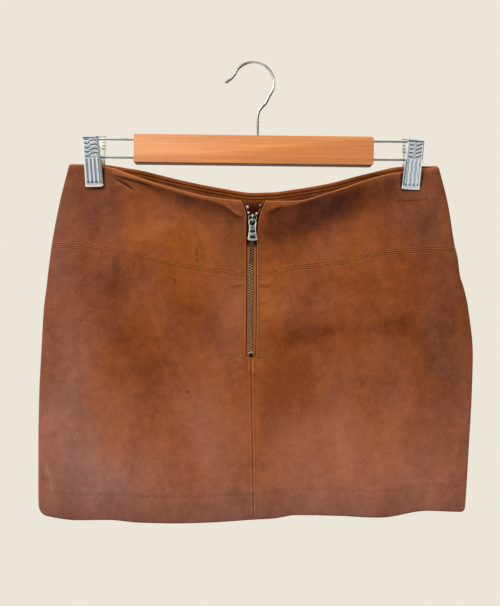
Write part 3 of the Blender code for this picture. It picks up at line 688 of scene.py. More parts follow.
def rounded_box(size, bevel, segments=2):
    shape = bmesh.new()
    bmesh.ops.create_cube(shape, size=1.0)
    bmesh.ops.scale(shape, vec=size, verts=shape.verts)
    bmesh.ops.bevel(shape, geom=shape.edges[:], offset=bevel, segments=segments, profile=0.5, affect="EDGES")
    points = [tuple(vertex.co) for vertex in shape.verts]
    faces = [tuple(vertex.index for vertex in face.verts) for face in shape.faces]
    shape.free()
    return points, faces


def placed(shape, matrix):
    points, faces = shape
    return [tuple(matrix @ Vector(point)) for point in points], faces


def add_shape(name, shape, material, place=None, **given):
    """A piece from points and faces, moved to its place."""
    points, faces = shape if place is None else placed(shape, place)
    return add_piece(name, mesh_from(name, points, faces), material, **given)


def plate_mesh(name, outlines, thickness, bevel, matrix=Matrix()):
    """A flat plate with rounded edges from closed outlines, the first outside and the
    rest holes, drawn in its own x and y."""
    curve = bpy.data.curves.new(name, "CURVE")
    curve.dimensions = "2D"
    curve.fill_mode = "BOTH"
    curve.extrude = thickness / 2 - bevel
    curve.bevel_depth = bevel
    curve.bevel_resolution = 2
    curve.offset = -bevel
    for outline in outlines:
        spline = curve.splines.new("POLY")
        spline.points.add(len(outline) - 1)
        spline.use_cyclic_u = True
        for place, (x, y) in zip(spline.points, outline):
            place.co = (x, y, 0.0, 1.0)
    drawing = bpy.data.objects.new(name, curve)
    bpy.context.scene.collection.objects.link(drawing)
    bpy.context.view_layer.update()
    mesh = bpy.data.meshes.new_from_object(drawing.evaluated_get(bpy.context.evaluated_depsgraph_get()))
    bpy.data.objects.remove(drawing)
    shape = bmesh.new()
    shape.from_mesh(mesh)
    bmesh.ops.remove_doubles(shape, verts=shape.verts, dist=0.0005)
    bmesh.ops.transform(shape, matrix=Matrix.Scale(MM, 4) @ matrix, verts=shape.verts)
    bmesh.ops.recalc_face_normals(shape, faces=shape.faces)
    shape.to_mesh(mesh)
    shape.free()
    mesh.name = name
    mesh.shade_smooth()
    mesh.set_sharp_from_angle(angle=math.radians(40))
    return mesh


# ---------------------------------------------------------------- materials


def new_material(name):
    material = bpy.data.materials.new(name)
    material.use_nodes = True
    tree = material.node_tree
    return material, tree, tree.nodes["Principled BSDF"]


def noise_node(tree, where, scale, detail=3.0, roughness=0.55, distortion=0.0):
    node = tree.nodes.new("ShaderNodeTexNoise")
    node.inputs["Scale"].default_value = scale
    node.inputs["Detail"].default_value = detail
    node.inputs["Roughness"].default_value = roughness
    node.inputs["Distortion"].default_value = distortion
    tree.links.new(where, node.inputs["Vector"])
    return node.outputs["Fac"]


def maths(tree, operation, first, second=None, third=None, clamp=False):
    node = tree.nodes.new("ShaderNodeMath")
    node.operation = operation
    node.use_clamp = clamp
    for socket, value in zip(node.inputs, (first, second, third)):
        if value is None:
            continue
        if isinstance(value, (int, float)):
            socket.default_value = value
        else:
            tree.links.new(value, socket)
    return node.outputs[0]


def stretched(tree, scale, turn=(0, 0, 0)):
    where = tree.nodes.new("ShaderNodeTexCoord")
    mapping = tree.nodes.new("ShaderNodeMapping")
    mapping.inputs["Scale"].default_value = scale
    mapping.inputs["Rotation"].default_value = turn
    tree.links.new(where.outputs["Object"], mapping.inputs["Vector"])
    return mapping.outputs["Vector"]


def ramp(tree, factor, stops):
    node = tree.nodes.new("ShaderNodeValToRGB")
    elements = node.color_ramp.elements
    while len(elements) < len(stops):
        elements.new(0.5)
    for element, (place, colour) in zip(elements, stops):
        element.position = place
        element.color = (*colour, 1.0)
    tree.links.new(factor, node.inputs["Fac"])
    return node.outputs["Color"]


def blended(tree, factor, first, second):
    node = tree.nodes.new("ShaderNodeMix")
    node.data_type = "RGBA"
    node.clamp_factor = True
    for socket, value in ((node.inputs["Factor"], factor), (node.inputs[6], first), (node.inputs[7], second)):
        if isinstance(value, (int, float)):
            socket.default_value = value
        elif isinstance(value, tuple):
            socket.default_value = (*value, 1.0)
        else:
            tree.links.new(value, socket)
    return node.outputs[2]


def value_of(tree, name):
    node = tree.nodes.new("ShaderNodeAttribute")
    node.attribute_name = name
    return node.outputs["Fac"]


def bump(tree, shader, height, distance, strength=1.0):
    node = tree.nodes.new("ShaderNodeBump")
    node.inputs["Distance"].default_value = distance
    node.inputs["Strength"].default_value = strength
    tree.links.new(height, node.inputs["Height"])
    tree.links.new(node.outputs["Normal"], shader.inputs["Normal"])


WARM_STOPS = (
    (0.0, (0.035, 0.0072, 0.0012)), (0.3, (0.105, 0.0240, 0.0042)), (0.55, (0.205, 0.0535, 0.0092)),
    (0.8, (0.315, 0.0920, 0.0175)), (1.0, (0.44, 0.155, 0.045)),
)
COOL_STOPS = (
    (0.0, (0.045, 0.0195, 0.017)), (0.3, (0.110, 0.051, 0.045)), (0.55, (0.190, 0.092, 0.083)),
    (0.8, (0.290, 0.145, 0.132)), (1.0, (0.40, 0.225, 0.20)),
)


def suede_material(name):
    material, tree, shader = new_material(name)
    flat = stretched(tree, (1.0, 1.0, 1.0))
    tilted = stretched(tree, (1.0, 1.0, 0.5), (0, math.radians(24), 0))
    clouds = noise_node(tree, tilted, 26.0, 3.0, 0.6, 0.6)
    blots = noise_node(tree, flat, 95.0, 3.0, 0.6, 0.3)
    grain = noise_node(tree, flat, 520.0, 3.0, 0.6)
    nap = noise_node(tree, flat, 2600.0, 2.0, 0.6)
    # the tone attribute holds the suede's own mottling together with painted shade and light along seams,
    # creases, folds and round the clips
    tone = maths(tree, "MULTIPLY_ADD", value_of(tree, "tone"), 0.5, 0.55)
    for texture, amount in ((clouds, 0.38), (blots, 0.32), (grain, 0.30), (nap, 0.22)):
        centred = maths(tree, "SUBTRACT", texture, 0.5)
        tone = maths(tree, "MULTIPLY_ADD", centred, amount, tone)
    # the warm attribute holds the suede's own orange-to-mauve shift together with a painted tint of the light
    warm_clouds = noise_node(tree, tilted, 19.0, 2.0, 0.5, 0.4)
    centred = maths(tree, "SUBTRACT", warm_clouds, 0.5)
    warmth = maths(tree, "MULTIPLY_ADD", centred, 0.55, value_of(tree, "warm"), clamp=True)
    warm_colour = ramp(tree, tone, WARM_STOPS)
    cool_colour = ramp(tree, tone, COOL_STOPS)
    colour = blended(tree, warmth, cool_colour, warm_colour)
    # painted highlight along the rolled waist, the zip's edges and the facing's top, from the rim attribute
    colour = blended(tree, value_of(tree, "rim"), colour, (0.50, 0.17, 0.06))
    tree.links.new(colour, shader.inputs["Base Color"])
    shader.inputs["Roughness"].default_value = 0.92
    shader.inputs["Specular IOR Level"].default_value = 0.1
    shader.inputs["Sheen Weight"].default_value = 0.05
    shader.inputs["Sheen Roughness"].default_value = 0.4
    shader.inputs["Sheen Tint"].default_value = (1.0, 0.62, 0.40, 1.0)
    height = maths(tree, "MULTIPLY_ADD", nap, 0.35, maths(tree, "MULTIPLY", grain, 0.65))
    bump(tree, shader, height, 0.00035, 0.8)
    return material


TAPE_STOPS = (
    (0.0, (0.010, 0.003, 0.002)), (0.3, (0.050, 0.008, 0.004)), (0.6, (0.20, 0.046, 0.008)),
    (0.8, (0.35, 0.082, 0.012)), (1.0, (0.50, 0.145, 0.034)),
)


def tape_material(name):
    material, tree, shader = new_material(name)
    where = stretched(tree, (1.0, 1.0, 1.0))
    wave = tree.nodes.new("ShaderNodeTexWave")
    wave.bands_direction = "Z"
    wave.inputs["Scale"].default_value = 520.0
    wave.inputs["Distortion"].default_value = 1.2
    tree.links.new(where, wave.inputs["Vector"])
    across = tree.nodes.new("ShaderNodeTexWave")
    across.bands_direction = "X"
    across.inputs["Scale"].default_value = 360.0
    tree.links.new(where, across.inputs["Vector"])
    weave = maths(tree, "MULTIPLY", wave.outputs["Fac"], across.outputs["Fac"])
    fuzz = maths(tree, "SUBTRACT", noise_node(tree, where, 900.0, 3.0), 0.5)
    tone = maths(tree, "MULTIPLY_ADD", value_of(tree, "tone"), 0.5, 0.5)
    tone = maths(tree, "MULTIPLY_ADD", fuzz, 0.25, tone)
    tone = maths(tree, "MULTIPLY_ADD", weave, 0.10, tone)
    tree.links.new(ramp(tree, tone, TAPE_STOPS), shader.inputs["Base Color"])
    shader.inputs["Roughness"].default_value = 0.85
    shader.inputs["Specular IOR Level"].default_value = 0.15
    bump(tree, shader, weave, 0.0002, 0.7)
    return material


def metal_material(name, dark, light, roughness, scale=160.0, worn=0.25, metallic=1.0):
    material, tree, shader = new_material(name)
    where = stretched(tree, (1.0, 1.0, 1.0))
    smudge = noise_node(tree, where, scale, 4.0)
    fine = noise_node(tree, where, scale * 9, 2.0)
    both = maths(tree, "MULTIPLY_ADD", fine, 0.35, maths(tree, "MULTIPLY", smudge, 0.65))
    colour = ramp(tree, both, ((0.3, dark), (0.7, light)))
    # pale blends toward cream for painted highlights and reflections, shade toward a dark copy of the colour
    # for painted shade
    colour = blended(tree, value_of(tree, "pale"), colour, (0.97, 0.89, 0.79))
    colour = blended(tree, value_of(tree, "shade"), colour, tuple(part * 0.10 for part in dark))
    tree.links.new(colour, shader.inputs["Base Color"])
    rough = maths(tree, "MULTIPLY_ADD", both, worn, roughness - worn / 2)
    tree.links.new(rough, shader.inputs["Roughness"])
    shader.inputs["Metallic"].default_value = metallic
    return material


WOOD_STOPS = (
    (0.28, (0.40, 0.117, 0.023)), (0.45, (0.52, 0.175, 0.038)),
    (0.58, (0.60, 0.217, 0.052)), (0.75, (0.68, 0.275, 0.077)),
)


def wood_material(name):
    material, tree, shader = new_material(name)
    grain_place = stretched(tree, (14.0, 60.0, 620.0))
    grain = noise_node(tree, grain_place, 1.0, 4.0, 0.65, 0.4)
    broad = noise_node(tree, stretched(tree, (4.0, 20.0, 90.0)), 1.0, 2.0, 0.5, 0.8)
    pores = noise_node(tree, stretched(tree, (60.0, 400.0, 1600.0)), 1.0, 2.0)
    flecks = noise_node(tree, stretched(tree, (900.0, 300.0, 90.0), (0, math.radians(6), 0)), 1.0, 2.0)
    tone = maths(tree, "MULTIPLY_ADD", broad, 0.5, maths(tree, "MULTIPLY", grain, 0.5))
    tone = maths(tree, "MULTIPLY_ADD", maths(tree, "SUBTRACT", flecks, 0.5), 0.07, tone)
    colour = ramp(tree, tone, WOOD_STOPS)
    dark_pores = maths(tree, "GREATER_THAN", pores, 0.66)
    dark_pores = maths(tree, "MULTIPLY", dark_pores, 0.35)
    colour = blended(tree, dark_pores, colour, (0.40, 0.12, 0.03))
    facing = tree.nodes.new("ShaderNodeNewGeometry")
    parts = tree.nodes.new("ShaderNodeSeparateXYZ")
    tree.links.new(facing.outputs["Normal"], parts.inputs["Vector"])
    # painted shade on the faces that look down
    underside_shade = maths(tree, "MULTIPLY_ADD", parts.outputs["Z"], -2.0, -0.5, clamp=True)
    colour = blended(tree, underside_shade, colour, (0.20, 0.070, 0.024))
    tree.links.new(colour, shader.inputs["Base Color"])
    shader.inputs["Roughness"].default_value = 0.5
    shader.inputs["Coat Weight"].default_value = 0.15
    shader.inputs["Coat Roughness"].default_value = 0.3
    bump(tree, shader, grain, 0.0002, 0.4)
    return material


def plain_material(name, colour, roughness, specular=0.5):
    material, tree, shader = new_material(name)
    where = stretched(tree, (1.0, 1.0, 1.0))
    mottle = noise_node(tree, where, 8.0, 3.0)
    light = tuple(min(1.0, part * 1.04) for part in colour)
    tree.links.new(ramp(tree, mottle, ((0.3, colour), (0.7, light))), shader.inputs["Base Color"])
    shader.inputs["Specular IOR Level"].default_value = specular
    shader.inputs["Roughness"].default_value = roughness
    return material


# ---------------------------------------------------------------- cloth pieces


def colour_values(side, x, drop):
    """The cloth's tone, warmth and painted highlight on its rolled edges (rim) at each point."""
    across = across_at(x, drop)
    tone, warm = smooth(BASE_COLOUR, 1, drop), smooth(BASE_COLOUR, 2, drop)
    for patch_x, patch_drop, half_width, half_height, turn, darker, warmer in PATCHES[side]:
        cosine, sine = math.cos(math.radians(turn)), math.sin(math.radians(turn))
        u = (x - patch_x) * cosine + (drop - patch_drop) * sine
        v = (drop - patch_drop) * cosine - (x - patch_x) * sine
        weight = bell(u, half_width) * bell(v, half_height)
        tone, warm = tone + darker * weight, warm + warmer * weight
    for points, width, darker, warmer in BANDS[side]:
        distance, fade = near_line(points, x, drop)
        weight = fade * bell(distance, width)
        tone, warm = tone + darker * weight, warm + warmer * weight
    # painted light and shade along the yoke seam, the hem and the rolled waist, and the rim's painted
    # highlight on the waist's edge
    seam = np.abs(drop - edge_drop(side, YOKE_SEAM, across))
    hem = edge_drop(side, HEM, across) - drop
    waist = drop - edge_drop(side, FRONT_WAIST if side == FRONT else BACK_WAIST, across)
    tone = tone + ridges(seam, SEAM_LIGHT_AND_SHADE) + ridges(hem, HEM_SHADE) + ridges(waist, WAIST_ROLL_HIGHLIGHT)
    rim = ridges(waist, WAIST_EDGE_HIGHLIGHT)
    if side == FRONT:
        middle = zip_line(drop)
        off = np.abs(x - middle)
        under = fade_in(drop - OPENING_BOTTOM, SEAM_START)
        by_zip = fade_in(OPENING_BOTTOM - drop, ZIP_EDGE_END)
        # painted highlight on the centre seam's ridges, painted shade in its groove and the zip's stitch
        # groove, the roll's painted light and shadow, and the rim's painted highlight on the zip's edges
        ridge = np.where(x > middle, CENTRE_RIDGE_HIGHLIGHT[RIGHT], CENTRE_RIDGE_HIGHLIGHT[LEFT]) * bell(off - 1.4, 0.8)
        beside = beside_zip(x, drop)
        tone = tone + under * (ridge + ridges(off, CENTRE_SEAM_SHADE)) + folded(x, drop)[1]
        tone = tone + by_zip * ridges(beside, ZIP_STITCH_SHADE)
        tone = tone + SPECK_TONE * bell(np.hypot(x - SPECK_X, drop - SPECK_DROP), SPECK_RADIUS)
        rim = rim + by_zip * ridges(beside, ZIP_EDGE_HIGHLIGHT)
    return {"tone": tone, "warm": warm, "rim": np.clip(rim, 0, 1)}


def edge(reach, *more):
    return reach, round_end(reach) + list(more)


BY_SEAM = edge(0.22, 0.45, 0.7, 0.95, 1.2, 1.45, 1.65, 1.85, 2.05, 2.3, 2.7, 3.2, 3.9, 4.8)
BY_WAIST = edge(CLOTH / 2, 1.2, 1.8, 2.5, 3.4, 4.4, 5.5, 6.7)
BY_HEM = edge(CLOTH / 2, 1.3, 2.0, 3.0, 4.2)
SIDE_TURNS = (0, 4, 9, 15, 24, 36, 50, 65, 78, 90)
BY_SIDE = 0.0, [SIDE_ROUND * (1 - math.cos(math.radians(turn))) for turn in SIDE_TURNS] + [4.5]
BY_ZIP = edge(0.45, 0.75, 1.1, 1.5, 1.9, 2.3, 2.7, 3.1, 3.6, 4.3, 5.2)


def side_share(outer, side_columns):
    """The thickness near a side seam, where the cloth turns in towards the other side."""
    from_middle = np.abs(outer[..., 1]) - SEAM / 2
    radius = CLOTH / 2
    share = np.sqrt(np.maximum(0.0, 1 - (1 - np.clip(from_middle, 0, radius) / radius) ** 2))
    return np.where(side_columns, share, 1.0)


def build_front(suede):
    pieces = {}
    specs = {
        "yoke": (FRONT_WAIST, YOKE_SEAM, 0.0, -SEAM_GAP / 2, lines(BY_WAIST, 104, BY_SEAM)),
        "panel": (YOKE_SEAM, HEM, SEAM_GAP / 2, 0.0, lines(BY_SEAM, 178, BY_HEM)),
    }
    columns = lines(BY_SIDE, 144, BY_ZIP)
    for half, word in ((LEFT, "left"), (RIGHT, "right")):
        for kind, (top, bottom, top_shift, bottom_shift, rows) in specs.items():
            x, drop = front_grid(half, top, bottom, top_shift, bottom_shift, rows, columns)
            outer = outer_face(FRONT, x, drop)
            share = rows[:, 2:] * np.ones(len(columns))
            own = columns[:, 2]
            by_side = columns[:, 0] == 0
            if half == RIGHT:
                own, by_side = own[::-1], by_side[::-1]
            share = share * own * side_share(outer, by_side[None, :])
            name = f"suede_front_{kind}_{word}"
            # the inner face is painted darker: painted shade inside the skirt
            mesh = shell(name, outer, CLOTH, share, colour_values(FRONT, x, drop), inside=-0.25)
            piece = add_piece(name, mesh, suede, replaces=(f"front_{kind}_{word}",))
            pieces[kind, word] = piece, outer
    return pieces


def build_seam_strip(suede):
    """The centre-front seam's allowance, pressed flat behind the two panels."""
    rows, columns = lines(edge(0.5), 110, edge(0.5)), lines(edge(0.5), 14, edge(0.5))
    drop = laid(318.0, float(edge_drop(FRONT, HEM, 0.505)) - 0.6, rows, 1)[:, None] * np.ones(len(columns))
    middle = zip_line(drop)
    x = laid(middle - 9.0, middle + 9.0, columns, 1)
    outer = outer_face(FRONT, x, drop, 1.0)
    outer[..., 1] += CLOTH + 0.5
    values = {"tone": np.full(x.shape, -0.35), "warm": np.full(x.shape, 0.7), "rim": np.zeros(x.shape)}
    mesh = shell("suede_seam_strip", outer, 1.0, rows[:, 2:] * columns[:, 2], values)
    return add_piece(mesh.name, mesh, suede, slot="suede"), outer


def build_side_seams(suede):
    """The two side seams' sewn edges, which close the groove between front and back."""
    shapes = []
    for side, across in ((LEFT, 0.0), (RIGHT, 1.0)):
        top, bottom = (float(edge_drop(FRONT, line, across)) for line in (FRONT_WAIST, HEM))
        drop = np.linspace(top + 0.8, bottom - 0.8, 160)
        x = smooth(SIDES, SIDE_COLUMN[side], drop) - side * 0.85
        shapes.append(tube(np.stack([x, 0 * drop, -drop], axis=1), 0.42, 8))
    points, faces = joined(shapes)
    flat = np.ones(len(points))
    values = {"tone": -0.45 * flat, "warm": 0.6 * flat, "rim": 0 * flat}
    add_piece("suede_side_seams", mesh_from("suede_side_seams", points, faces, values), suede, slot="suede")


def build_back(suede, facing_suede):
    pieces = {}
    columns = lines(BY_SIDE, 196, BY_SIDE)
    for kind, top, bottom, top_shift, bottom_shift, rows in (
        ("yoke", BACK_WAIST, YOKE_SEAM, 0.0, -SEAM_GAP / 2, lines(BY_WAIST, 38, BY_SEAM)),
        ("panel", YOKE_SEAM, HEM, SEAM_GAP / 2, 0.0, lines(BY_SEAM, 88, BY_HEM)),
    ):
        x, drop = back_grid(top, bottom, top_shift, bottom_shift, rows, columns)
        outer = outer_face(BACK, x, drop)
        share = rows[:, 2:] * side_share(outer, np.ones((1, len(columns)), bool))
        name = f"suede_back_{kind}"
        # the inner face is painted darker, most in the yoke: painted shade inside the skirt, seen through the
        # zip's opening
        inside = -0.7 if kind == "yoke" else -0.25
        mesh = shell(name, outer, CLOTH, share, colour_values(BACK, x, drop), BACK, inside)
        pieces[kind] = add_piece(name, mesh, suede, replaces=(f"back_{kind}",)), outer
    pieces["facing"] = build_facing(facing_suede)
    return pieces


FACING_TOP, FACING_BOTTOM_SHARE, FACING_ENDS = 1.2, 0.36, (0.06, 0.94)
FACING_LINES = (4.2, 7.4)
# darker along the two stitch grooves, with painted highlights on the puffs between them
FACING_TONES = ((4.2, 0.6, -1.0), (7.4, 0.6, -1.0), (2.4, 0.8, 0.2), (5.8, 0.7, 0.15))


def facing_point(x, drop, out):
    """A point of the facing's inner face, out mm inside the back's wall."""
    step = 0.5
    here = outer_face(BACK, x, drop, 0.0)
    across = outer_face(BACK, x + step, drop, 0.0) - outer_face(BACK, x - step, drop, 0.0)
    down = outer_face(BACK, x, drop + step, 0.0) - outer_face(BACK, x, drop - step, 0.0)
    normal = np.cross(across, down)
    normal /= np.linalg.norm(normal, axis=-1, keepdims=True)
    return here - normal * out


def build_facing(material):
    """The waist facing inside the back: a strip with two lines of stitching by its top."""
    near_top = edge(FACING / 2, 1.0, 1.6, 2.2, 2.6, 3.0, 3.4, 3.8, 4.4, 5.0, 5.4, 5.8, 6.2, 6.6, 7.0, 7.8)
    rows = lines(near_top, 24, edge(FACING / 2, 1.0, 2.0))
    columns = lines(edge(FACING / 2, 1.2), 160, edge(FACING / 2, 1.2))
    across = np.full((len(rows), len(columns)), 0.5)
    for _ in range(8):
        waist = edge_drop(BACK, BACK_WAIST, across)
        over = waist + FACING_TOP
        under = mix(waist, edge_drop(BACK, YOKE_SEAM, across), FACING_BOTTOM_SHARE)
        drop = over + (under - over) * rows[:, :1] + rows[:, 1:2]
        left, right = side_lines(drop)
        x = laid(mix(left, right, FACING_ENDS[0]), mix(left, right, FACING_ENDS[1]), columns, 1)
        across = across_at(x, drop)
    below = drop - edge_drop(BACK, BACK_WAIST, across)
    groove = sum(0.28 * bell(below - line, 0.5) for line in FACING_LINES)
    inner = facing_point(x, drop, CLOTH + SEAM + FACING)
    towards = facing_point(x, drop, CLOTH + SEAM + FACING - 1) - inner
    inner = inner + towards * groove[..., None]
    share = rows[:, 2:] * columns[:, 2]
    # painted shade: the facing darkens to near black down inside the skirt; the rim is a painted highlight
    # along its top edge
    tone = -0.02 + ridges(below, FACING_TONES) - 1.5 * fade_in(below - 8.0, 12)
    values = {"tone": tone, "warm": np.full(x.shape, 1.0), "rim": 0.2 * bell(below - FACING_TOP, 0.6)}
    mesh = shell("suede_back_facing", inner, FACING, share, values, FRONT)
    return add_piece("suede_back_facing", mesh, material, replaces=("back_facing",)), inner


# ---------------------------------------------------------------- stitches


STITCH, STITCH_GAP, THREAD = 1.3, 1.65, 0.56


def stitch_line(side, x, drop, surface=None):
    """Stitches along a line of places on the cloth."""
    surface = surface or (lambda a, b: outer_face(side, a, b))
    line = surface(np.asarray(x, float), np.asarray(drop, float))
    length = np.concatenate([[0], np.cumsum(np.linalg.norm(np.diff(line, axis=0), axis=1))])
    shapes = []
    place = STITCH_GAP
    while place + STITCH < length[-1]:
        stops = [place + STITCH * share for share in (0.0, 0.25, 0.5, 0.75, 1.0)]
        points = np.stack([np.interp(stops, length, line[:, k]) for k in range(3)], axis=1)
        sunk = np.array([0.36, 0.16, 0.10, 0.16, 0.36])
        points[:, 1] -= side * sunk
        shapes.append(tube(points, THREAD, 6))
        place += STITCH + STITCH_GAP
    return shapes


def build_stitches(thread, zip_thread):
    along = np.linspace(0.004, 0.996, 700)
    for side, word in ((FRONT, "front"), (BACK, "back")):
        shapes = []
        drop = edge_drop(side, YOKE_SEAM, along)
        x = mix(*side_lines(drop), along)
        runs = [x < -6.5, x > 8.0] if side == FRONT else [np.full(x.shape, True)]
        for shift in (-STITCH_OFF, STITCH_OFF):
            for run in runs:
                shapes += stitch_line(side, x[run], drop[run] + shift)
        add_shape(f"stitches_{word}", joined(shapes), thread, slot="suede")
    down = np.linspace(153, 304, 300)
    shapes = []
    for half in (LEFT, RIGHT):
        shapes += stitch_line(FRONT, smooth(OPENING, SIDE_COLUMN[half], down) + half * 2.7, down)
    add_shape("stitches_zip", joined(shapes), zip_thread, slot="suede")
    shapes = []
    along = np.linspace(0.075, 0.925, 500)
    for shift in FACING_LINES:
        drop = edge_drop(BACK, BACK_WAIST, along) + shift
        x = mix(*side_lines(drop), along)
        shapes += stitch_line(FRONT, x, drop, lambda a, b: facing_point(a, b, CLOTH + SEAM + FACING - 0.15))
    add_shape("stitches_facing", joined(shapes), thread, slot="facing_suede")


# ---------------------------------------------------------------- the zip

TAPE_TOP, TAPE_BOTTOM, TAPE_WIDTH = 147.4, 316.0, 11.8
CHAIN_TOP, CHAIN_BOTTOM, CHAIN_DEPTH, CHAIN_PROUD = 167.5, 300.9, 2.0, 0.4
CHAIN_MIDDLE = CHAIN_DEPTH / 2 - CHAIN_PROUD
TOOTH_PITCH, TOOTH_SIZE, TOOTH_OFF = 1.27, (1.7, 1.9, 1.0), 0.95
STOP_DROP, STOP_RADIUS, STOP_DEPTH = 303.4, 2.1, 2.6
TOP_STOP_DROP = 153.5
SLIDER_DROP = 165.5
SLIDER_HALF = ((3.4, 4.0), (4.3, 3.0), (4.3, 0.5), (3.2, -2.5), (3.0, -6.5))
SLIDER_FRONT, SLIDER_FRONT_DEPTH = -1.3, 1.0
SLIDER_BACK, SLIDER_BACK_DEPTH = 3.7, 0.8
SLIDER_POST, SLIDER_POST_Z = (1.6, 5.0, 1.4), 2.8
BRIDGE = ((-1.4, 4.0), (-3.6, 4.0), (-5.2, 2.6), (-5.4, -2.6), (-4.2, -4.3), (-1.4, -4.3),
          (-1.4, -2.6), (-3.4, -2.6), (-4.05, -2.0), (-4.0, 2.0), (-3.0, 2.7), (-1.4, 2.7))
BRIDGE_WIDTH = 1.5
SLIDER_RIM = ((1.0, 2.3), (2.1, 2.6), (3.3, 2.3), (4.0, 1.1), (4.0, -0.6), (3.4, -1.9), (2.1, -2.4))
HINGE = (0.0, -2.95, -1.65)
TAB_HALF = ((0.0, 0.1), (1.6, 0.05), (3.0, -0.6), (3.8, -2.0), (3.85, -3.8), (3.5, -5.6), (3.2, -7.2),
            (3.15, -9.0), (3.3, -12.0), (3.75, -15.0), (4.2, -18.0), (4.9, -20.4), (4.6, -21.1), (2.6, -21.2),
            (0.0, -21.5))
TAB_EYE = (-3.45, 2.6, 2.95)
UPRIGHT = Matrix.Rotation(math.pi / 2, 4, "X")
SIDEWAYS = Matrix(((0, 0, 1, 0), (1, 0, 0, 0), (0, 1, 0, 0), (0, 0, 0, 1)))


def cad_depth(drop):
    """The solids' plain front depth on the zip's centre line."""
    x = zip_line(drop)
    across = across_at(x, drop)
    roundness = np.maximum(0.0, 1 - (2 * across - 1) ** 2) ** ROUNDNESS
    return HELD_DEPTH[FRONT] + smooth(SIDES, BULGE[FRONT], drop) * roundness * (1 - pinch(x, drop))


def zip_place(drop):
    """The frame of the zip at a drop: x right, y into the cloth, z up along the zip."""
    over, under = cad_depth(drop - 4), cad_depth(drop + 4)
    lean = math.atan2(-(over - under), 8.0)
    where = Vector((float(zip_line(drop)), -float(cad_depth(drop)), -drop))
    return Matrix.Translation(where) @ Matrix.Rotation(-lean, 4, "X")


TAPE_EDGE = (
    # drop, how far the left tape's inner edge is from the centre line, and the right one's
    (147, 10.6, 11.2),
    (150, 7.4, 9.4),
    (157.5, 5.0, 6.0),
    (161.5, 3.5, 3.9),
    (165, 1.6, 1.7),
    (170, 0.15, 0.15),
    (316, 0.15, 0.15),
)


def tape_edge(half, drop):
    return smooth(TAPE_EDGE, SIDE_COLUMN[half], drop)


def tape_face(half, off, drop):
    x = zip_line(drop) + half * off
    outer = outer_face(FRONT, x, drop, 0.0)
    outer[..., 1] += CLOTH + SEAM
    return outer


def build_tapes(tape):
    rows = lines(edge(TAPE / 2), 150, edge(TAPE / 2))
    by_teeth = edge(TAPE / 2, 0.7, 0.95, 1.2, 1.4, 1.6, 1.8, 2.0, 2.2, 2.4, 2.7, 3.0, 3.3, 3.7, 4.1, 4.5, 4.8)
    columns = lines(by_teeth, 7, edge(TAPE / 2, 1.0))
    pieces = []
    for half, word in ((LEFT, "left"), (RIGHT, "right")):
        drop = laid(TAPE_TOP, TAPE_BOTTOM, rows, 1)[:, None] * np.ones(len(columns))
        gap = tape_edge(half, drop)
        off = laid(gap, gap + mix(5.0, TAPE_WIDTH, fade_in(drop - TAPE_TOP, 12)), columns, 1)
        outer = tape_face(half, off, drop)
        outer[..., 1] -= 0.35 * bell(off - gap - 0.7, 0.6)
        # the tape's tone is painted light and shade: painted shade down to just below the pull tab and along
        # the leather's edges, and in the open V a painted highlight on the tape's turned-up edge with painted
        # shade beyond it
        opening = np.abs(smooth(OPENING, SIDE_COLUMN[half], drop) - zip_line(drop))
        is_open = fade_in(164.5 - drop, 2.5)
        strip = 1.75 * fade_in(0.9 - off + gap, 0.25) - 1.05
        below_tab = fade_in(drop - 190, 6)
        shows = fade_in(off - 1.9, 0.3) * fade_in(opening - 0.5 - off, 0.4)
        closed = 1.45 * below_tab * shows - 0.85
        tone = mix(closed, strip, is_open)
        if half == LEFT:
            outer, tone = outer[:, ::-1], tone[:, ::-1]
        share = rows[:, 2:] * (columns[::-1, 2] if half == LEFT else columns[:, 2])
        mesh = shell(f"zip_tape_{word}_woven", outer, TAPE, share, {"tone": tone})
        pieces.append((add_piece(mesh.name, mesh, tape, replaces=(f"zip_tape_{word}",)), outer))
    return pieces


def build_teeth(metal):
    block = rounded_box(TOOTH_SIZE, 0.22)
    shapes = []
    count = int((CHAIN_BOTTOM - CHAIN_TOP) / TOOTH_PITCH)
    for i in range(count):
        drop = CHAIN_TOP + 0.6 + i * TOOTH_PITCH
        half = LEFT if i % 2 else RIGHT
        place = zip_place(drop) @ Matrix.Translation((half * TOOTH_OFF, CHAIN_MIDDLE, 0))
        shapes.append(placed(block, place))
    points, faces = joined(shapes)
    drops = -np.asarray(points)[:, 2]
    # painted shade: the teeth darker for some 30 mm below the pull tab
    shade = {"shade": 0.55 * fade_in(drops - 187, 3) * fade_in(217 - drops, 7)}
    mesh = mesh_from("zip_teeth", points, faces, shade)
    mesh.set_sharp_from_angle(angle=math.radians(50))
    add_piece("zip_teeth", mesh, metal, replaces=("zip_chain",))
    free = []
    for half, drop in ((LEFT, 159.5), (RIGHT, 160.3)):
        gap = float(tape_edge(half, drop))
        place = zip_place(drop) @ Matrix.Translation((half * (gap - 0.4), CHAIN_MIDDLE + 0.4, 0))
        free.append(placed(rounded_box((2.7, 2.0, 2.7), 0.9, 4), place))
    add_shape("zip_teeth_open", joined(free), metal, slot="zip_metal")


def mirrored(half_outline):
    return list(half_outline) + [(-x, y) for x, y in reversed(half_outline) if x > 0]


def rounded_outline(points, times=2):
    """A closed outline with its corners cut smaller and smaller."""
    line = np.asarray(points, float)
    for _ in range(times):
        after = np.roll(line, -1, axis=0)
        line = np.stack([mix(line, after, 0.2), mix(line, after, 0.8)], axis=1).reshape(-1, 2)
    return [tuple(point) for point in line]


def ellipse(centre_y, half_width, half_height, points=28):
    turns = [2 * math.pi * i / points for i in range(points)]
    return [(half_width * math.cos(turn), centre_y + half_height * math.sin(turn)) for turn in turns]


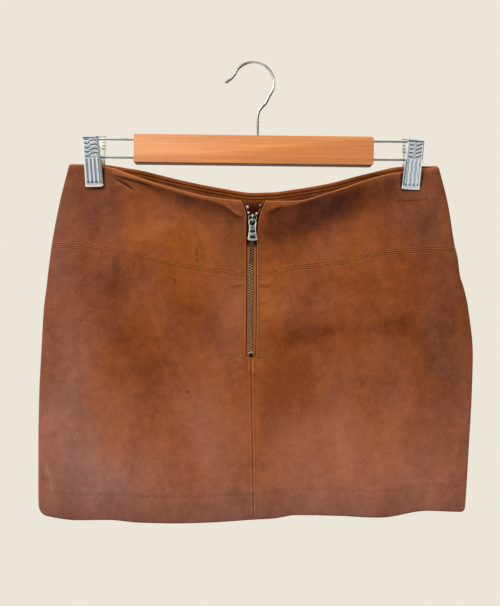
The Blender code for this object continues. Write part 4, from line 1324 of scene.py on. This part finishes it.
def build_stops(metal, dull_metal, dark_metal):
    for half, word, drop, finish in (
        (LEFT, "left", TOP_STOP_DROP, metal),
        (RIGHT, "right", TOP_STOP_DROP - 1.6, dull_metal),
    ):
        off = float(tape_edge(half, drop)) - 0.9
        lean = Matrix.Rotation(math.radians(18 * half), 4, "Y")
        place = zip_place(drop) @ Matrix.Translation((half * off, CHAIN_MIDDLE, 0)) @ lean
        add_shape(f"zip_top_stop_{word}_bright", rounded_box((2.2, 2.0, 2.8), 0.6, 4), finish, place,
                  replaces=(f"zip_top_stop_{word}",))
    place = zip_place(STOP_DROP) @ Matrix.Translation((0, CHAIN_DEPTH - CHAIN_PROUD - STOP_DEPTH, 0))
    shape = bmesh.new()
    bmesh.ops.create_uvsphere(shape, u_segments=28, v_segments=16, radius=1.0)
    points = [(v.co.x * STOP_RADIUS, v.co.y * 1.2 + 1.1, v.co.z * STOP_RADIUS) for v in shape.verts]
    faces = [tuple(vertex.index for vertex in face.verts) for face in shape.faces]
    shape.free()
    add_shape("zip_bottom_stop_round", (points, faces), dark_metal, place, replaces=("zip_bottom_stop",))
    turns = [math.radians(turn) for turn in range(20, 161, 14)]
    arc = [(2.2 * math.cos(turn), 0.9, 0.3 + 2.0 * math.sin(turn)) for turn in turns]
    add_shape("zip_bottom_stop_rim", tube(arc, 0.4, 8), metal, place, slot="zip_metal")


def build_slider(metal, grey_metal, dull_metal, dark_metal):
    head = zip_place(SLIDER_DROP)
    outline = rounded_outline(mirrored(SLIDER_HALF))
    for name, y, depth, bevel, material, slot, stands_for in (
        ("zip_slider_front", SLIDER_FRONT, SLIDER_FRONT_DEPTH, 0.3, dark_metal, None, ("zip_slider",)),
        ("zip_slider_back", SLIDER_BACK, SLIDER_BACK_DEPTH, 0.25, dark_metal, "dark_zip_metal", ()),
    ):
        mesh = plate_mesh(name, [outline], depth, bevel, head @ Matrix.Translation((0, y, 0)) @ UPRIGHT)
        add_piece(name, mesh, material, slot=slot, replaces=stands_for)
    place = head @ Matrix.Translation((0, (SLIDER_FRONT + SLIDER_BACK) / 2, SLIDER_POST_Z))
    turned = Matrix.Rotation(math.radians(45), 4, "Y")
    nose = head @ Matrix.Translation((0.6, SLIDER_FRONT - 0.3, 5.0)) @ turned
    post = placed(rounded_box(SLIDER_POST, 0.3, 3), place)
    shape = joined([post, placed(rounded_box((1.5, 1.2, 1.5), 0.25, 3), nose)])
    add_shape("zip_slider_post", shape, dark_metal, slot="dark_zip_metal")
    bridge = plate_mesh("zip_slider_bridge", [rounded_outline(BRIDGE)], BRIDGE_WIDTH, 0.4, head @ SIDEWAYS)
    add_piece("zip_slider_bridge", bridge, dull_metal, slot="zip_metal")
    y = SLIDER_FRONT - 0.6
    rims = []
    for half in (LEFT, RIGHT):
        rims.append(tube(curve_through([(half * a, y, z) for a, z in SLIDER_RIM], 5), 0.38, 8))
    knob = [(0, SLIDER_FRONT + y, z) for y, z in ((-2.6, 2.6), (-3.6, 1.8), (-4.2, 0.8))]
    add_shape("zip_slider_knob", tube(curve_through(knob, 4), 0.95, 12), metal, head, slot="zip_metal")
    low_knob = curve_through([(0, -5.5, -2.4), (0, -5.7, -3.4), (0, -5.3, -4.4)], 4)
    rims.append(tube(low_knob, 0.95, 12))
    add_shape("zip_slider_rims", joined(rims), grey_metal, head, slot="zip_metal")


def build_pull_tab(metal, plate_metal, recess_metal, dark_metal):
    hinge = zip_place(SLIDER_DROP) @ Matrix.Translation(HINGE)
    outline = rounded_outline(mirrored(TAB_HALF))
    eye = ellipse(*TAB_EYE)
    slot = [(2.65, -11.05), (2.65, -13.65), (-2.65, -13.65), (-2.65, -11.05)]
    shapes = [outline, eye, rounded_outline(slot)]
    plate = plate_mesh("zip_pull_tab_plate", shapes, 0.8, 0.2, hinge @ UPRIGHT)
    add_piece("zip_pull_tab_plate", plate, plate_metal, body="pull_tab", replaces=("zip_pull_tab",))
    shapes = [
        tube([(x * 0.93, 0.0, -0.4 + (y + 0.4) * 0.99) for x, y in outline], 0.5, 10, closed=True),
        tube([(x * 1.13, 0.0, TAB_EYE[0] + (y - TAB_EYE[0]) * 1.1) for x, y in eye], 0.36, 10, closed=True),
        tube([(2.6, 0.0, -10.45), (-2.6, 0.0, -10.45)], 0.34, 8),
        tube([(2.8, 0.0, -14.7), (-2.8, 0.0, -14.7)], 0.45, 8),
    ]
    add_shape("zip_pull_tab_rims", joined(shapes), metal, hinge, slot="zip_metal", body="pull_tab")
    # painted shade: a dark plate closes the slot from behind
    behind_slot = rounded_outline([(2.9, -10.8), (2.9, -13.95), (-2.9, -13.95), (-2.9, -10.8)], 1)
    for name, shape, y, depth, finish in (
        ("zip_pull_tab_slot", behind_slot, 0.15, 0.5, dark_metal),
        ("zip_pull_tab_recess", ellipse(-8.65, 1.85, 0.95), -0.35, 0.3, recess_metal),
        ("zip_pull_tab_inset", ellipse(-18.1, 2.85, 1.6), -0.35, 0.3, dark_metal),
    ):
        mesh = plate_mesh(name, [shape], depth, 0.1, hinge @ Matrix.Translation((0, y, 0)) @ UPRIGHT)
        add_piece(name, mesh, finish, slot="dark_zip_metal", body="pull_tab")


# ---------------------------------------------------------------- the hanger

HOOK_RADIUS, HOOK_WIRE = 21.7, 1.5
HOOK_CENTRE_X, HOOK_ARC = 3.0, (160, -38)
HOOK_TIP = ((-25.6, -19.8), (-21.2, -16.9))
HOOK_NECK = ((16.2, -41.4), (11.6, -46.6), (8.6, -51.6), (7.6, -57.5))
HOOK_SHANK_X, HOOK_SHANK_BOTTOM = 7.6, -92.0
WIRE, WIRE_TOP, WIRE_LOW, WIRE_IN_BAR = 1.2, -80.9, -99.9, 24.0
BAR_CENTRE_X, BAR_LENGTH = 4.2, 250.0
BEND_RADIUS, BEND_PAST = 2.4, 7.6
CLIP_WIDTH_TOP, CLIP_WIDTH_LOW, PLATE = 17.4, 19.2, 0.9
PLATES = {
    # how far below the pivot, how far from the wires
    FRONT: ((-17.0, 13.2), (-8.0, 11.4), (0.0, 9.6), (8.0, 7.9), (18.0, 5.6), (28.0, 3.6), (31.8, 3.1)),
    BACK: ((-25.0, 12.9), (-9.0, 10.0), (0.0, 8.6), (8.0, 7.3), (18.0, 5.9), (28.0, 4.6), (31.8, 4.1)),
}
CLIP_LEAN = {LEFT: math.radians(-2.2), RIGHT: math.radians(3.1)}
LUG_AT = {FRONT: 4.7, BACK: 3.3}
SPRING_RADIUS, SPRING_WIRE, SPRING_HALF, SPRING_TURNS = 2.1, 0.45, 2.1, 2.5
SPRING_LEG_HEIGHT, SPRING_LEG_REACH = 7.0, 9.0
TILT = Matrix.Rotation(HANGER_TILT, 4, "Y")
BAR_HEIGHT, BAR_DEPTH, BAR_CENTRE = 29.9, 12.0, (4.2, 0.0, -91.75)
BAR_TILT = Matrix.Rotation(math.radians(0.68), 4, "Y")


def curve_through(points, steps=8):
    """A smooth line through points, by uniform Catmull-Rom pieces."""
    line = [np.asarray(point, float) for point in points]
    line = [2 * line[0] - line[1]] + line + [2 * line[-1] - line[-2]]
    route = []
    for a, b, c, d in zip(line, line[1:], line[2:], line[3:]):
        for step in range(steps):
            t = step / steps
            square, cube = 2 * a - 5 * b + 4 * c - d, 3 * b - 3 * c + d - a
            route.append(0.5 * (2 * b + (c - a) * t + square * t * t + cube * t ** 3))
    route.append(line[-2])
    return route


def build_hook(chrome):
    centre_z = HOOK_WIRE - HOOK_RADIUS
    arc = []
    for i in range(10):
        turn = math.radians(mix(HOOK_ARC[0], HOOK_ARC[1], i / 9))
        arc.append((HOOK_CENTRE_X + HOOK_RADIUS * math.cos(turn), centre_z + HOOK_RADIUS * math.sin(turn)))
    route = list(HOOK_TIP) + arc + list(HOOK_NECK) + [(HOOK_SHANK_X, -68.0), (HOOK_SHANK_X, HOOK_SHANK_BOTTOM)]
    line = curve_through([(x, 0, z) for x, z in route])
    points, faces = placed(tube(line, HOOK_WIRE, 20), TILT)
    rings = np.asarray(points).reshape(-1, 20, 3)
    middle = rings.mean(axis=1, keepdims=True)
    to_right = (rings - middle)[..., 0] / HOOK_WIRE
    # painted shade: the wire darker along its left arc, at its sides, and on the right side of its neck
    left_side = fade_in(4 - middle[..., 0], 10) * np.ones(20)
    neck = fade_in(-24 - middle[..., 2], 8)
    sides = np.clip(np.abs(to_right) * 1.6 - 0.7, 0, 1)
    on_neck = 0.25 + 0.6 * np.clip(0.75 + 1.4 * to_right, 0, 1)
    dark = 0.66 * left_side + (1 - left_side) * mix(0.5 * sides, on_neck, neck)
    shade = {"shade": np.clip(dark, 0, 1).reshape(-1)}
    add_piece("hook_wire", mesh_from("hook_wire", points, faces, shade), chrome, replaces=("hanger_hook",))


def build_bar(wood):
    """The wooden bar: its left end is cut square, its right end has softer corners."""
    outline = []
    for x, z, radius, start in ((1, 1, 3.0, 0), (-1, 1, 0.8, 90), (-1, -1, 1.4, 180), (1, -1, 3.2, 270)):
        for turn in range(start, start + 91, 15):
            angle = math.radians(turn)
            outline.append((x * (BAR_LENGTH / 2 - radius) + radius * math.cos(angle),
                            z * (BAR_HEIGHT / 2 - radius) + radius * math.sin(angle)))
    place = BAR_TILT @ Matrix.Translation(BAR_CENTRE) @ UPRIGHT
    mesh = plate_mesh("bar_wood", [outline], BAR_DEPTH, 0.9, place)
    add_piece("bar_wood", mesh, wood, replaces=("hanger_bar",))


def build_wires(steel):
    for side, word in ((LEFT, "left"), (RIGHT, "right")):
        inside = BAR_CENTRE_X + side * (BAR_LENGTH / 2 - WIRE_IN_BAR)
        outside = CLIP_X[side] + side * BEND_PAST
        route = [(inside, 0, WIRE_LOW)]
        for height, first, last in ((WIRE_LOW + BEND_RADIUS, -90, 0), (WIRE_TOP - BEND_RADIUS, 0, 90)):
            for i in range(9):
                turn = math.radians(mix(first, last, i / 8))
                x = outside - side * BEND_RADIUS * (1 - math.cos(turn))
                route.append((x, 0, height + BEND_RADIUS * math.sin(turn)))
        route.append((inside, 0, WIRE_TOP))
        add_shape(f"wire_{word}", tube(route, WIRE, 16), steel, TILT, replaces=(f"hanger_wire_{word}",))


# The pressed pattern of the clip plates, with its painted shade and highlights, in mm on a plate 18 mm wide
PATTERN_WIDTH = 18.0
FLANGE_START, FLANGE_REACH = 7.0, 2.0
GRIP_END, JAW_START, JAW_BOTTOM, LIP_START = {LEFT: 2.6, RIGHT: 1.2}, {LEFT: 3.0, RIGHT: 1.5}, 28.4, 28.8
ROW_PITCH, FLUTE_PITCH, NOTCH_PITCH = {LEFT: 4.1, RIGHT: 3.81}, 4.0, 3.65
FLUTE_HALF, FLUTE_SHADE = {LEFT: 0.4, RIGHT: 0.6}, {LEFT: 0.50, RIGHT: 0.26}
# painted highlights on the grips' bright rows and on the lips
ROW_HIGHLIGHT, LIP_HIGHLIGHT = {LEFT: 0.45, RIGHT: 0.7}, {LEFT: 0.9, RIGHT: 0.35}
NOTCH_START, BACK_SHADE = {LEFT: 10.9, RIGHT: 10.0}, {LEFT: 0.14, RIGHT: 0.0}


def back_pattern(side, across, below, top):
    """A back plate's bent edges: height, painted shade at notches and top, and a painted pale reflection."""
    from_middle = np.abs(across)
    flange = fade_in(from_middle - FLANGE_START, FLANGE_REACH)
    notches = np.cos((below + NOTCH_START[side]) * 2 * math.pi / NOTCH_PITCH) * (below > -20.5)
    notch = np.clip(notches * 3 - 1.4, 0, 1) * bell(from_middle - 6.4, 1.5) * fade_in(-7 - below, 1.5)
    rim = fade_in(1.2 - below + top, 0.5)
    shade = BACK_SHADE[side] + 1.5 * notch + 1.0 * rim + 0.15 * flange
    return -1.0 * flange ** 2, np.clip(shade, 0, 1), 0.4 - 2 * BACK_SHADE[side] + 0.0 * below


def row_wave(side, across):
    """How far the pressed rows of a grip dip, across the plate."""
    if side == LEFT:
        return 1.5 - 1.5 * np.tanh((across + 0.9) / 1.3) - 0.25 * np.sin((across + 2) * 2 * math.pi / 5.0)
    return -np.where(across > -0.8, 3.4 + 0.32 * (across - 4), 2.86 - 0.10 * (across + 4.5))


def front_pattern(side, across, below, top):
    """A front plate's ridges, wavy rows on the grip and flutes down the jaw: their height,
    the painted shade in hollows and along borders, and painted highlights on rows, border and lip."""
    right = side == RIGHT
    inside = fade_in(7.2 - np.abs(across), 0.8)
    grip = fade_in(GRIP_END[side] - below, 1.2) * fade_in(below - top - 1.5, 1.0) * inside
    jaw = fade_in(below - JAW_START[side], 1.2) * fade_in(JAW_BOTTOM - below, 1.2)
    flange = fade_in(np.abs(across) - FLANGE_START, FLANGE_REACH)
    lip = fade_in(below - LIP_START, 3.0)
    spine = bell(across + 0.8, 1.3) if right else 0.0
    sway = 0.30 * np.sin((below + 1) * 2 * math.pi / 11) if right else 0.0
    turn = (below - row_wave(side, across)) * 2 * math.pi / ROW_PITCH[side]
    place = np.mod(across - 0.5 - sway + FLUTE_PITCH / 2, FLUTE_PITCH) - FLUTE_PITCH / 2
    height = 0.17 * grip * np.cos(turn) * (1 - spine) + jaw * inside * (0.50 * bell(place, 0.6) - 0.1)
    height = height - 1.0 * flange ** 2 + 0.3 * lip ** 2
    groove = fade_in(np.abs(place) - FLUTE_HALF[side], 0.4)
    low_end = 0.7 * bell(below - 27.2, 1.0) * np.clip(groove + 0.2, 0, 1)
    dark_row = np.clip(-np.cos(turn - 0.5) + 0.1, 0, 1) * (1 - spine)
    bright_row = np.clip(np.cos(turn - 0.5), 0, 1) * (1 - spine)
    border = fade_in(3 - below, 2) if right else 1.0
    shade = jaw * inside * (FLUTE_SHADE[side] * groove + low_end) + grip * (0.95 * dark_row + 0.15 * spine)
    shade = shade + border * 0.8 * bell(across - 8.3, 1.0) * (below > top + 2) * (lip < 0.3)
    shade = shade + 0.85 * bell(below - top - 1.2, 0.7) + 0.5 * fade_in(1.2 - below + top, 0.4)
    pale = ROW_HIGHLIGHT[side] * grip * bright_row + LIP_HIGHLIGHT[side] * np.clip(lip * 3, 0, 1)
    if right:
        shade = shade + 0.95 * jaw * bell(across + 7.5, 0.8)
    else:
        pale = pale + 0.25 * jaw * fade_in(-7.2 - across, 0.6)
    return height, np.clip(shade, 0, 1), np.clip(pale, 0, 1)


def build_clip_plate(name, side, face, pivot, material, node):
    """One pressed plate of a clip, bent after its profile."""
    profile = PLATES[face]
    top, end = profile[0][0] - (1.3 if (side, face) == (LEFT, FRONT) else 0.0), profile[-1][0]
    tall, wide = (150, 84) if face == FRONT else (90, 44)
    rim = edge(PLATE / 2)
    rows, columns = lines(rim, tall, rim), lines(rim, wide, rim)
    below = laid(top, end, rows, 1)[:, None] * np.ones(len(columns))
    width = mix(CLIP_WIDTH_TOP, CLIP_WIDTH_LOW, (below - top) / (end - top))
    if face == BACK:
        width = width - 2.4 * bell(below + 1, 8)
    x = -width / 2 + width * columns[:, 0] + columns[:, 1]
    corner = 1.4 * bell(np.abs(x) - width / 2, 1.4) * bell(below - end, 0.8)
    pattern = front_pattern if face == FRONT else back_pattern
    height, shade, pale = pattern(side, x / width * PATTERN_WIDTH, below, top)
    depth = smooth(profile, 1, below) + height
    aside = 1.6 if (side, face) == (LEFT, BACK) else 0.0
    outward = np.array([0, face * PLATE / 2, 0])
    outer = np.stack([x + aside, face * depth, -(below - corner)], axis=-1) + outward
    mesh = shell(name, outer, PLATE, rows[:, 2:] * columns[:, 2], {"shade": shade, "pale": pale}, face)
    mesh.transform(Matrix.Scale(MM, 4) @ pivot @ Matrix.Scale(1 / MM, 4))
    add_piece(name, mesh, material, replaces=(node,))


def build_clips(chrome, dull_chrome, steel):
    for side, word in ((LEFT, "left"), (RIGHT, "right")):
        foot = Matrix.Translation((0, 0, PLATES[FRONT][-1][0]))
        lean = foot.inverted() @ Matrix.Rotation(CLIP_LEAN[side], 4, "Y") @ foot
        pivot = TILT @ Matrix.Translation((CLIP_X[side], 0, WIRE_LOW)) @ lean
        for face, kind, finish in ((FRONT, "front", chrome), (BACK, "back", dull_chrome)):
            node = f"clip_{word}_{kind}"
            build_clip_plate(f"{node}_plate", side, face, pivot, finish, node)
            reach = float(smooth(PLATES[face], 1, 0))
            lug = rounded_box((0.8, reach + 2.2, 5.2), 0.25)
            places = [(half * LUG_AT[face], face * (reach - 2.2) / 2, 0) for half in (LEFT, RIGHT)]
            lugs = [placed(lug, pivot @ Matrix.Translation(place)) for place in places]
            add_shape(f"{node}_lugs", joined(lugs), chrome, slot="chrome")
        count = round(SPRING_TURNS * 24)
        route = [(-SPRING_HALF, -SPRING_LEG_REACH, SPRING_LEG_HEIGHT)]
        for i in range(count + 1):
            turn = math.pi * (1 + 2 * SPRING_TURNS * i / count)
            x = mix(-SPRING_HALF, SPRING_HALF, i / count)
            route.append((x, SPRING_RADIUS * math.cos(turn), SPRING_RADIUS * math.sin(turn)))
        route.append((SPRING_HALF, SPRING_LEG_REACH, SPRING_LEG_HEIGHT))
        add_shape(f"clip_{word}_coil", tube(route, SPRING_WIRE, 10), steel, pivot,
                  replaces=(f"clip_{word}_spring",))


# ---------------------------------------------------------------- stage, light, camera


def build_stage():
    floor_mesh = bpy.data.meshes.new("floor")
    half, back, low = 1.1, 0.55, -0.95
    corners = [(-half, -half, low), (half, -half, low), (half, back, low), (-half, back, low)]
    floor_mesh.from_pydata(corners, [], [(0, 1, 2, 3)])
    floor_mesh.materials.append(plain_material("pale_floor", (0.78, 0.75, 0.70), 0.9))
    floor = bpy.data.objects.new("floor", floor_mesh)
    bpy.context.scene.collection.objects.link(floor)
    build_world()
    for name, where, size, power, colour in (
        ("key", (-0.60, -0.90, 0.60), 0.7, 10.6, (1.0, 0.95, 0.88)),
        ("fill", (0.9, -0.9, -0.1), 0.9, 2.6, (1.0, 0.93, 0.84)),
        ("behind", (0.3, 1.0, 0.4), 0.9, 6.0, (1.0, 0.96, 0.91)),
    ):
        light = bpy.data.lights.new(name, "AREA")
        light.shape = "DISK"
        light.size = size
        light.energy = power
        light.color = colour
        lamp = bpy.data.objects.new(name, light)
        bpy.context.scene.collection.objects.link(lamp)
        lamp.location = where
        lamp.rotation_euler = (Vector((0, 0, -0.28)) - Vector(where)).to_track_quat("-Z", "Y").to_euler()


ROOM_STOPS = (
    (0.1, (0.14, 0.13, 0.12)), (0.45, (0.50, 0.475, 0.435)),
    (0.75, (1.16, 1.13, 1.09)), (0.95, (1.7, 1.7, 1.7)),
)


def build_world():
    """A plain pale room as the camera sees it, which lights the object softly, more from
    above and the left than from below and the right."""
    world = bpy.data.worlds.new("pale_room")
    world.use_nodes = True
    bpy.context.scene.world = world
    tree = world.node_tree
    seen = tree.nodes["Background"]
    seen.inputs["Color"].default_value = (0.84, 0.79, 0.70, 1.0)
    lit = tree.nodes.new("ShaderNodeBackground")
    where = tree.nodes.new("ShaderNodeTexCoord")
    parts = tree.nodes.new("ShaderNodeSeparateXYZ")
    tree.links.new(where.outputs["Generated"], parts.inputs["Vector"])
    height = maths(tree, "MULTIPLY_ADD", parts.outputs["Z"], 0.40, 0.5)
    side = maths(tree, "MULTIPLY_ADD", parts.outputs["X"], -0.22, height)
    room = ramp(tree, side, ROOM_STOPS)
    ahead = maths(tree, "MULTIPLY", parts.outputs["Y"], -1.0)
    far_side = maths(tree, "MULTIPLY_ADD", ahead, 7.0, -5.6, clamp=True)
    tree.links.new(blended(tree, far_side, room, (0.17, 0.20, 0.225)), lit.inputs["Color"])
    rays = tree.nodes.new("ShaderNodeLightPath")
    both = tree.nodes.new("ShaderNodeMixShader")
    tree.links.new(rays.outputs["Is Camera Ray"], both.inputs[0])
    tree.links.new(lit.outputs[0], both.inputs[1])
    tree.links.new(seen.outputs[0], both.inputs[2])
    tree.links.new(both.outputs[0], tree.nodes["World Output"].inputs["Surface"])


def build_camera():
    """620 mm in front of the hanger, square to it, with 636 mm in the picture's height."""
    camera = bpy.data.cameras.new("camera")
    distance, height = 0.620, 0.6363
    camera.sensor_width = 36.0
    camera.lens = camera.sensor_width * distance / height
    camera.clip_start = 0.01
    seen_from = bpy.data.objects.new("camera", camera)
    bpy.context.scene.collection.objects.link(seen_from)
    seen_from.location = (-0.00084, -distance, -0.2516)
    seen_from.rotation_euler = (math.pi / 2, 0, 0)
    bpy.context.scene.camera = seen_from


METALS = {
    # dark and light colour, roughness, scale of its smudges, how worn, metallic share
    "zip_metal": ((0.46, 0.44, 0.38), (0.76, 0.73, 0.66), 0.30, 400.0),
    "chain_metal": ((0.34, 0.32, 0.25), (0.60, 0.57, 0.45), 0.34, 300.0),
    "tab_metal": ((0.22, 0.215, 0.195), (0.40, 0.39, 0.355), 0.34, 500.0),
    "bridge_metal": ((0.07, 0.07, 0.065), (0.14, 0.14, 0.13), 0.38, 500.0),
    "dark_zip_metal": ((0.012, 0.013, 0.013), (0.035, 0.036, 0.036), 0.4, 400.0),
    "clip_chrome": ((0.60, 0.70, 0.78), (0.80, 0.89, 0.96), 0.24, 120.0, 0.10, 0.65),
    # a darker, duller, cream-tinted copy of the clip chrome for the back plates: painted shade, and a painted
    # reflection of the pale room
    "clip_chrome_back": ((0.44, 0.44, 0.37), (0.56, 0.56, 0.47), 0.5, 120.0, 0.10, 0.4),
    "hook_nickel": ((0.50, 0.49, 0.45), (0.66, 0.65, 0.61), 0.22, 120.0, 0.12),
    "steel_wire": ((0.24, 0.25, 0.25), (0.38, 0.39, 0.39), 0.35, 200.0),
    "dull_stop": ((0.16, 0.09, 0.05), (0.26, 0.15, 0.09), 0.5, 400.0),
}


def build():
    bpy.context.scene.view_settings.view_transform = "Standard"
    build_camera()
    build_stage()
    suede = suede_material("suede")
    facing = suede_material("facing_suede")
    thread = plain_material("sewing_thread", (0.085, 0.020, 0.004), 0.9, 0.03)
    tape = tape_material("zip_tape")
    metal = {name: metal_material(name, *given) for name, given in METALS.items()}
    wood = wood_material("beech")
    front = build_front(suede)
    back = build_back(suede, facing)
    strip = build_seam_strip(suede)
    build_side_seams(suede)
    tapes = build_tapes(tape)
    build_teeth(metal["chain_metal"])
    build_stops(metal["zip_metal"], metal["dull_stop"], metal["dark_zip_metal"])
    build_slider(metal["zip_metal"], metal["tab_metal"], metal["bridge_metal"], metal["dark_zip_metal"])
    build_pull_tab(metal["zip_metal"], metal["tab_metal"], metal["bridge_metal"], metal["dark_zip_metal"])
    build_stitches(thread, plain_material("tan_thread", (0.20, 0.062, 0.016), 0.9, 0.03))
    build_bar(wood)
    build_hook(metal["hook_nickel"])
    build_wires(metal["steel_wire"])
    build_clips(metal["clip_chrome"], metal["clip_chrome_back"], metal["steel_wire"])


build()
